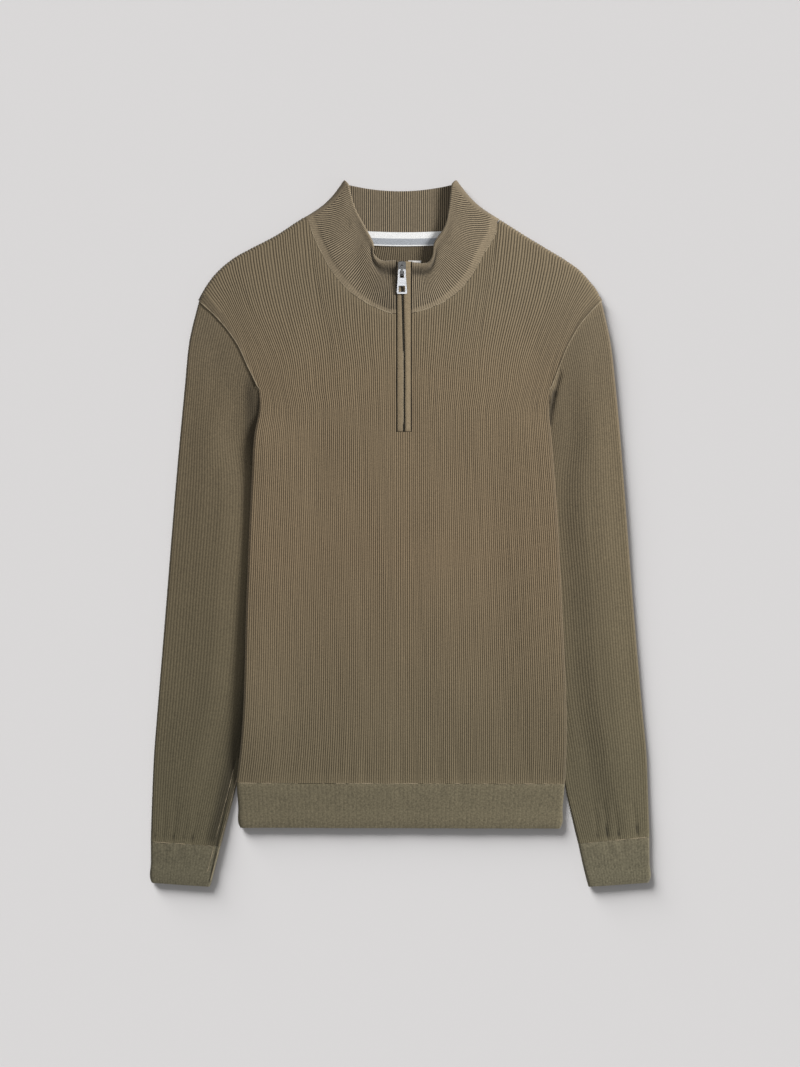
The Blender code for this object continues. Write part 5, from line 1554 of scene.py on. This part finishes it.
def sleeve_seam_path(side_name, offset, lowest, highest):
    """A line inside a sleeve's inner edge, at this distance from it."""
    sign = sign_of(side_name)
    rows = [(s.inner_y, getattr(s, "inner_" + side_name), s.inner_height) for s in SLEEVE[5:]]
    rows += [(c.inner_y, getattr(c, "inner_" + side_name), c.height) for c in CUFF[1:3]]
    rows.sort()
    table = np.array(rows)
    ys = np.linspace(lowest, highest, 12)
    x = np.interp(ys, table[:, 0], table[:, 1]) + sign * offset
    z = np.interp(ys, table[:, 0], table[:, 2])
    return np.stack([x, ys, z], axis=1)


def cuff_seam_path(side_name):
    lift = CUFF_LIFT[side_name]
    ring = CUFF[0]
    heights = (("outer_", ring.outer_y + lift[0]), ("inner_", ring.inner_y + lift[1]))
    ends = [np.array((getattr(ring, edge + side_name), y + 0.2, ring.height + 0.1))
            for edge, y in heights]
    return mix(*ends, np.linspace(0.045, 0.955, 12)[:, None])


def hem_seam_path():
    x = np.linspace(HEM[0].left + 3.5, HEM[0].right - 3.5, 24)
    y = HEM[0].y + 0.2 - HEM_TILT * ((x - HEM[0].left) / (HEM[0].right - HEM[0].left) - 0.5)
    return np.stack([x, y, HEM[0].height + 0.15 + 0.0 * x], axis=1)


# ------------------------------------------------------------ neck
NECK_TAPE_X = 5.0
NECK_TAPE_HALF = 47.0
NECK_TAPE_Y = 319.2
NECK_TAPE_HEIGHT = 15.4
NECK_TAPE_BOW = 1.5
NECK_TAPE_TOP = 4.7
NECK_TAPE_UNDER = 3.95
LABEL_X = 15.9
LABEL_Y = 283.2
LABEL_WIDTH = 14.4
LABEL_HEIGHT = 20.0
LABEL_LEVEL = 3.8
LABEL_CURL = 0.25
LABEL_WALL = 0.45


def make_neck_tape():
    columns = np.arange(0, 49)
    share = 2.0 * columns / 48 - 1.0
    x = NECK_TAPE_X + NECK_TAPE_HALF * share
    rows = []
    low_rows = []
    for step in np.linspace(0.0, 1.0, 13):
        y = NECK_TAPE_Y + NECK_TAPE_HEIGHT * step + NECK_TAPE_BOW * share * share
        arch = 0.18 * np.sin(np.pi * step) + 0.12 * wobble(91, x / 13.0, y / 9.0)
        rows.append(np.stack([x, y, NECK_TAPE_TOP + arch], axis=1))
        low_rows.append(np.stack([x, y, NECK_TAPE_UNDER + 0.0 * x], axis=1))
    return even_strip("striped_neck_tape", rows, low_rows, columns, columns * 2.0)


def make_neck_label():
    columns = np.arange(0, 13)
    x = LABEL_X + LABEL_WIDTH * (columns / 12 - 0.5)
    rows = []
    low_rows = []
    for step in np.linspace(0.0, 1.0, 15):
        y = LABEL_Y + LABEL_HEIGHT * step + 0.0 * x
        z = LABEL_LEVEL + LABEL_CURL * np.sin(np.pi * columns / 12) * math.sin(math.pi * step)
        rows.append(np.stack([x, y, z], axis=1))
        low_rows.append(np.stack([x, y, z - LABEL_WALL], axis=1))
    return even_strip("bare_neck_label", rows, low_rows, columns, columns.astype(float))


# ------------------------------------------------------------ materials
class Paint:
    """A material's nodes, made one after another. Arguments are sockets or numbers."""

    def __init__(self, name):
        self.material = bpy.data.materials.new(name)
        self.material.use_nodes = True
        self.tree = self.material.node_tree
        self.shader = self.tree.nodes["Principled BSDF"]

    def node(self, kind, **settings):
        made = self.tree.nodes.new(kind)
        for key, value in settings.items():
            setattr(made, key, value)
        return made

    def link(self, source, target):
        self.tree.links.new(source, target)

    def fix(self, name, value):
        """A fixed value on one of the shader's sockets."""
        self.shader.inputs[name].default_value = value

    def colour(self, base, shade):
        """The base colour: a colour times a shade."""
        self.link(self.blend(1.0, base, shade, "MULTIPLY"), self.shader.inputs["Base Color"])

    def value(self, operation, *items):
        """The output of a Math node."""
        made = self.node("ShaderNodeMath", operation=operation)
        for socket, item in zip(made.inputs, items):
            if isinstance(item, (int, float)):
                socket.default_value = item
            else:
                self.link(item, socket)
        return made.outputs[0]

    def times(self, first, second):
        return self.value("MULTIPLY", first, second)

    def line(self, item, factor, start):
        """start + factor * item"""
        return self.value("MULTIPLY_ADD", item, factor, start)

    def blend(self, share, first, second, mode="MIX"):
        made = self.node("ShaderNodeMix", data_type="RGBA", blend_type=mode)
        for number, item in ((0, share), (6, first), (7, second)):
            if isinstance(item, tuple):
                made.inputs[number].default_value = (*item, 1.0)
            elif isinstance(item, (int, float)):
                made.inputs[number].default_value = item
            else:
                self.link(item, made.inputs[number])
        return made.outputs[2]

    def place(self):
        """Object coordinates, in metres."""
        return self.node("ShaderNodeTexCoord").outputs["Object"]

    def knit_map(self):
        """Ribs across and millimetres along the knit."""
        split = self.node("ShaderNodeSeparateXYZ")
        self.link(self.node("ShaderNodeUVMap", uv_map="knit").outputs["UV"], split.inputs[0])
        return split.outputs[0], split.outputs[1]

    def field(self, name):
        """An attribute of the knit's points."""
        return self.node("ShaderNodeAttribute", attribute_name=name).outputs["Fac"]

    def noise(self, coordinates, scale, detail=2.0, roughness=0.5):
        made = self.node("ShaderNodeTexNoise")
        made.inputs["Scale"].default_value = scale
        made.inputs["Detail"].default_value = detail
        made.inputs["Roughness"].default_value = roughness
        self.link(coordinates, made.inputs["Vector"])
        return made.outputs["Fac"]

    def bump(self, height, distance, strength=1.0):
        made = self.node("ShaderNodeBump")
        made.inputs["Distance"].default_value = distance
        made.inputs["Strength"].default_value = strength
        self.link(height, made.inputs["Height"])
        self.link(made.outputs["Normal"], self.shader.inputs["Normal"])


# Colours of the knit from the hem up: height Y in millimetres and colour, olive lower down; their
# darkening towards the hem is painted shade.
TINT_LOW, TINT_HIGH = -0.40, 0.40
BODY_TINTS_AND_SHADE = (
    (-270, (0.200, 0.161, 0.098)),
    (-210, (0.207, 0.164, 0.100)),
    (-20, (0.240, 0.178, 0.107)),
    (170, (0.246, 0.185, 0.112)),
    (270, (0.226, 0.178, 0.112)),
)
SLEEVE_TINTS_AND_SHADE = (
    (-330, (0.122, 0.105, 0.063)),
    (-240, (0.125, 0.105, 0.063)),
    (-40, (0.138, 0.110, 0.066)),
    (150, (0.148, 0.115, 0.070)),
    (237, (0.148, 0.117, 0.074)),
)
BAND_TINTS_AND_SHADE = (
    (-380, (0.130, 0.117, 0.076)),
    (-345, (0.132, 0.117, 0.076)),
    (-325, (0.142, 0.122, 0.077)),
    (-280, (0.142, 0.122, 0.077)),
)
COLLAR_TINTS = ((0, (0.345, 0.275, 0.182)), (300, (0.345, 0.275, 0.182)))
ZIP_BAND_TINTS = ((0, (0.212, 0.165, 0.103)), (300, (0.212, 0.165, 0.103)))
GREY_STRIPE = (1.3, 8.3)


def tint_and_shade_along(paint, tints_and_shade):
    """The knit's colour from the hem up, painted darker towards the hem as shade."""
    where = paint.node("ShaderNodeSeparateXYZ")
    paint.link(paint.place(), where.inputs[0])
    level = paint.node("ShaderNodeMapRange")
    level.inputs["From Min"].default_value = TINT_LOW
    level.inputs["From Max"].default_value = TINT_HIGH
    paint.link(where.outputs[1], level.inputs["Value"])
    ramp = paint.node("ShaderNodeValToRGB")
    while len(ramp.color_ramp.elements) < len(tints_and_shade):
        ramp.color_ramp.elements.new(0.5)
    for element, (y, colour) in zip(ramp.color_ramp.elements, tints_and_shade):
        element.position = (y * MM - TINT_LOW) / (TINT_HIGH - TINT_LOW)
        element.color = (*colour, 1.0)
    paint.link(level.outputs[0], ramp.inputs[0])
    return ramp.outputs[0]


def valley_depth(paint, off_crest, crisp):
    """1 between two ribs and 0 on a crest, nearer the middle where the ribs lie flat."""
    middle = 0.5 if crisp else 0.44
    if crisp:
        steep = paint.node("ShaderNodeMapRange", interpolation_type="SMOOTHSTEP")
        steep.inputs["From Min"].default_value = 0.1
        steep.inputs["From Max"].default_value = 0.9
        paint.link(off_crest, steep.inputs["Value"])
        depth = steep.outputs[0]
    else:
        depth = paint.value("POWER", off_crest, 1.25)
    patchy = paint.line(paint.noise(paint.place(), 60.0, 2.0), 1.2, 0.4)
    clear = paint.times(paint.value("SUBTRACT", 1.0, paint.field("plain")), patchy)
    return paint.line(paint.value("SUBTRACT", depth, middle), clear, middle)


def knit_material(name, tints_and_shade, course=1.25, ribbed=True, valley_shade=0.55, grain=0.7, crisp=False):
    """Knit: rows of slanted stitches on each rib with painted shade between ribs, paler where
    rubbed and where a highlight is painted, darker where shade is painted.
    """
    paint = Paint(name)
    times, line = paint.times, paint.line
    rib, run = paint.knit_map()
    place = paint.place()
    off_middle = paint.value("SUBTRACT", paint.value("FRACT", rib), 0.5)
    off_crest = times(paint.value("ABSOLUTE", off_middle), 2.0)
    wander = paint.noise(place, 260.0, 2.0)
    courses = paint.value("ADD", paint.value("DIVIDE", run, course), times(off_crest, 0.55))
    courses = paint.value("ADD", courses, times(wander, 0.35))
    stitch = line(paint.value("SINE", times(courses, 2.0 * math.pi)), 0.5, 0.5)
    crest = paint.value("SUBTRACT", 1.0, times(off_crest, off_crest))
    fuzz = paint.noise(place, 2400.0, 3.0, 0.6)
    if ribbed:
        height = line(times(stitch, crest), 0.55, times(crest, 0.35))
    else:
        height = line(stitch, 0.35, times(crest, 0.4))
    paint.bump(line(fuzz, 0.25, height), 0.0004, 0.8)
    shade = line(paint.noise(place, 16.0, 3.0), 0.16, 0.92)
    shade = times(shade, line(paint.noise(place, 520.0, 3.0, 0.6), grain, 1.0 - grain / 2.0))
    if ribbed:
        # Painted shade: the valleys between ribs are darkened.
        shade = times(shade, line(valley_depth(paint, off_crest, crisp), -valley_shade, 1.0))
        shade = times(shade, line(stitch, 0.2, 0.9))
    else:
        shade = times(shade, line(stitch, 0.14, 0.93))
    # Paler where rubbed and where a highlight is painted, darker where shade is painted.
    worn = paint.field("worn")
    pale = times(paint.value("MAXIMUM", worn, 0.0), paint.noise(place, 420.0, 2.0))
    shade = times(shade, line(pale, 0.7, 1.0))
    shade = times(shade, line(paint.value("MINIMUM", worn, 0.0), 0.6, 1.0))
    paint.colour(tint_and_shade_along(paint, tints_and_shade), shade)
    paint.fix("Roughness", 0.92)
    paint.fix("Specular IOR Level", 0.25)
    paint.fix("Sheen Weight", 0.2)
    paint.fix("Sheen Roughness", 0.5)
    return paint.material


def thread_material(name, colour):
    paint = Paint(name)
    fuzz = paint.noise(paint.place(), 1600.0, 3.0, 0.6)
    paint.colour(colour, paint.line(fuzz, 0.7, 0.65))
    paint.bump(fuzz, 0.0002)
    paint.fix("Roughness", 0.9)
    paint.fix("Sheen Weight", 0.2)
    return paint.material


def striped_tape_material():
    """Twill tape: a grey stripe along the lower half, white above and at the lower edge."""
    paint = Paint("striped_twill_tape")
    across, up = paint.knit_map()
    low, high = GREY_STRIPE
    grey = paint.times(paint.value("GREATER_THAN", up, low), paint.value("LESS_THAN", up, high))
    colour = paint.blend(grey, (0.84, 0.85, 0.85), (0.36, 0.385, 0.42))
    leaning = paint.value("ADD", across, paint.times(up, 1.2))
    twill = paint.line(paint.value("SINE", paint.times(leaning, 5.2)), 0.5, 0.5)
    cloudy = paint.noise(paint.place(), 600.0, 2.0)
    paint.colour(colour, paint.line(twill, 0.1, paint.line(cloudy, 0.16, 0.84)))
    paint.bump(twill, 0.00015)
    paint.fix("Roughness", 0.75)
    return paint.material


def satin_label_material():
    paint = Paint("satin_label")
    _, along = paint.knit_map()
    weave = paint.value("SINE", paint.times(along, 14.0))
    paint.bump(weave, 0.00005)
    paint.colour((0.80, 0.79, 0.77), paint.line(weave, 0.04, 0.95))
    paint.fix("Roughness", 0.5)
    return paint.material


def zip_tape_material():
    paint = Paint("woven_tape_dark")
    across, along = paint.knit_map()
    weave = paint.times(paint.value("SINE", paint.times(across, 12.0)),
                        paint.value("SINE", paint.times(along, 9.0)))
    paint.bump(weave, 0.0001)
    paint.colour((0.075, 0.062, 0.042), paint.line(weave, 0.15, 0.9))
    paint.fix("Roughness", 0.85)
    return paint.material


def metal_material(name, colour, roughness):
    """Plated metal, with faint brushing and rubbed spots."""
    paint = Paint(name)
    rubbed = paint.noise(paint.place(), 900.0, 3.0)
    paint.link(paint.line(rubbed, 0.22, roughness), paint.shader.inputs["Roughness"])
    darker = tuple(0.82 * c for c in colour)
    paint.link(paint.blend(rubbed, colour, darker), paint.shader.inputs["Base Color"])
    paint.fix("Metallic", 1.0)
    paint.bump(rubbed, 0.00002)
    return paint.material


def wear(piece, material):
    piece.data.materials.clear()
    piece.data.materials.append(material)


# ------------------------------------------------------------ studio
FLOOR_COLOUR = (0.53, 0.52, 0.52)
FLOOR_REACH = 6.0
FLOOR_LEVEL = -0.0003
WORLD_COLOUR = (1.0, 0.995, 0.99, 1.0)
WORLD_STRENGTH = 0.25
LENS = 90.0
SENSOR = 36.0
FRAME_HEIGHT = 1.18437   # of what the camera shows, at FRAME_LEVEL
FRAME_LEVEL = 0.007
CAMERA_X = -0.0002

Lamp = namedtuple("Lamp", "name kind place size power colour")
SWEATER_LAMPS = (
    Lamp("key_softbox", "AREA", (2.0, 0.9, 1.35), 0.9, 87.0, (1.0, 0.985, 0.965)),
    Lamp("top_softbox", "AREA", (0.0, 0.0, 3.5), 1.6, 19.0, (1.0, 1.0, 1.0)),
)
FLOOR_LAMPS = (
    Lamp("floor_light", "SUN", (-0.52, 0.77, 0.33), 0.62, 8.9, (1.0, 1.0, 1.0)),
    Lamp("floor_fill", "SUN", (0.0, 0.0, 1.0), 0.3, 0.35, (1.0, 1.0, 1.0)),
)


def make_studio():
    """A pale floor."""
    corners = ((-1, -1), (1, -1), (1, 1), (-1, 1))
    points = [(x * FLOOR_REACH, y * FLOOR_REACH, FLOOR_LEVEL) for x, y in corners]
    floor_mesh = bpy.data.meshes.new("studio_floor")
    floor_mesh.from_pydata(points, [], [(0, 1, 2, 3)])
    floor = bpy.data.objects.new("studio_floor", floor_mesh)
    bpy.context.scene.collection.objects.link(floor)
    paint = Paint("pale_floor")
    paint.fix("Base Color", (*FLOOR_COLOUR, 1.0))
    paint.fix("Roughness", 0.95)
    paint.fix("Specular IOR Level", 0.1)
    floor_mesh.materials.append(paint.material)
    return floor


def place_lamp(lamp, lit):
    """A softbox (AREA) or distant light (SUN), aimed at the middle, for one collection."""
    data = bpy.data.lights.new(lamp.name, lamp.kind)
    if lamp.kind == "AREA":
        data.shape = "DISK"
        data.size = lamp.size
    else:
        data.angle = lamp.size
    data.energy = lamp.power
    data.color = lamp.colour
    piece = bpy.data.objects.new(lamp.name, data)
    bpy.context.scene.collection.objects.link(piece)
    piece.location = lamp.place
    piece.rotation_euler = (-Vector(lamp.place)).to_track_quat("-Z", "Y").to_euler()
    piece.light_linking.receiver_collection = lit


def make_camera():
    data = bpy.data.cameras.new("camera")
    data.lens = LENS
    data.sensor_width = SENSOR
    data.clip_end = 50.0
    camera = bpy.data.objects.new("camera", data)
    camera.location = (CAMERA_X, 0.0, FRAME_HEIGHT * LENS / SENSOR + FRAME_LEVEL)
    bpy.context.scene.collection.objects.link(camera)
    bpy.context.scene.camera = camera


def make_lights(floor):
    scene = bpy.context.scene
    scene.view_settings.view_transform = "Standard"
    world = bpy.data.worlds.new("studio")
    world.use_nodes = True
    background = world.node_tree.nodes["Background"]
    background.inputs["Color"].default_value = WORLD_COLOUR
    background.inputs["Strength"].default_value = WORLD_STRENGTH
    scene.world = world
    ground = bpy.data.collections.new("lit_floor")
    ground.objects.link(floor)
    clothes = bpy.data.collections.new("lit_sweater")
    for piece in bpy.data.objects:
        if piece.type == "MESH" and piece is not floor:
            clothes.objects.link(piece)
    for lit, lamps in ((clothes, SWEATER_LAMPS), (ground, FLOOR_LAMPS)):
        for lamp in lamps:
            place_lamp(lamp, lit)


# ------------------------------------------------------------ put together
def dress(piece, node, material, slot=None):
    """A piece takes its material and joins the body; it stands for its node and hides it, unless a
    slot is passed for a piece sewn onto another.
    """
    wear(piece, material)
    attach(piece, BODY)
    if slot is None:
        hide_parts(node)


def sew(name, path, stitch, thread, slot):
    """A seam's thread on the piece that it lies on; it hides no node."""
    dress(linked_seam(name, path, stitch), None, thread, slot=slot)


def main():
    make_camera()
    body_knit = knit_material("rib_knit_body", BODY_TINTS_AND_SHADE)
    sleeve_knit = knit_material("rib_knit_sleeves", SLEEVE_TINTS_AND_SHADE, valley_shade=0.2, grain=1.0)
    collar_knit = knit_material("rib_knit_collar", COLLAR_TINTS, valley_shade=0.9, crisp=True)
    band_knit = knit_material("plain_knit_bands", BAND_TINTS_AND_SHADE, course=1.1, ribbed=False, grain=1.6)
    zip_knit = knit_material("zip_band_knit", ZIP_BAND_TINTS, course=1.0, ribbed=False)
    thread = thread_material("linking_thread", (0.27, 0.22, 0.145))

    front = make_front()
    dress(front, "front", body_knit)
    back = make_back()
    dress(back, "back", body_knit)
    sleeves = {}
    for side_name in ("left", "right"):
        sleeves[side_name] = make_sleeve(side_name)
        dress(sleeves[side_name], "sleeve_" + side_name, sleeve_knit)
        cuff = make_cuff(side_name)
        dress(cuff, "cuff_" + side_name, band_knit)
        band = make_band(side_name)
        dress(band, "placket_" + side_name, zip_knit)
        sew("armhole_seam_" + side_name, armhole_seam_path(side_name), ARMHOLE_STITCH, thread,
            "sleeve_" + side_name)
        sew("collar_seam_" + side_name, collar_seam_path(side_name), COLLAR_STITCH, thread,
            "collar")
        sew("cuff_seam_" + side_name, cuff_seam_path(side_name), CUFF_STITCH, thread,
            "cuff_" + side_name)
    for offset in SLEEVE_SEAM_OFFSETS:
        path = sleeve_seam_path("left", offset, *SLEEVE_SEAM_ENDS)
        sew("left_sleeve_seam", path, SLEEVE_STITCH, thread, "sleeve_left")
    sew("hem_seam", hem_seam_path(), HEM_STITCH, thread, "hem_band")
    hem = make_hem()
    dress(hem, "hem_band", band_knit)
    collar = make_collar()
    dress(collar, "collar", collar_knit)
    tape = make_tape_under_zip()
    dress(tape, "zip_tape", zip_tape_material())
    teeth = make_teeth()
    teeth_metal = metal_material("zip_teeth_metal", (0.17, 0.16, 0.13), 0.45)
    dress(teeth, None, teeth_metal, slot="zip_slider")
    sew("zip_tape_edge", slit_edge_path(), TAPE_EDGE_STITCH, thread, "zip_tape")
    neck_tape = make_neck_tape()
    dress(neck_tape, "neck_tape", striped_tape_material())
    label = make_neck_label()
    dress(label, "neck_label", satin_label_material())
    wear(frame["nodes"]["zip_pull"], metal_material("bright_nickel", (0.53, 0.54, 0.56), 0.22))
    wear(frame["nodes"]["zip_slider"], metal_material("dark_nickel", (0.11, 0.11, 0.11), 0.25))

    make_lights(make_studio())


main()
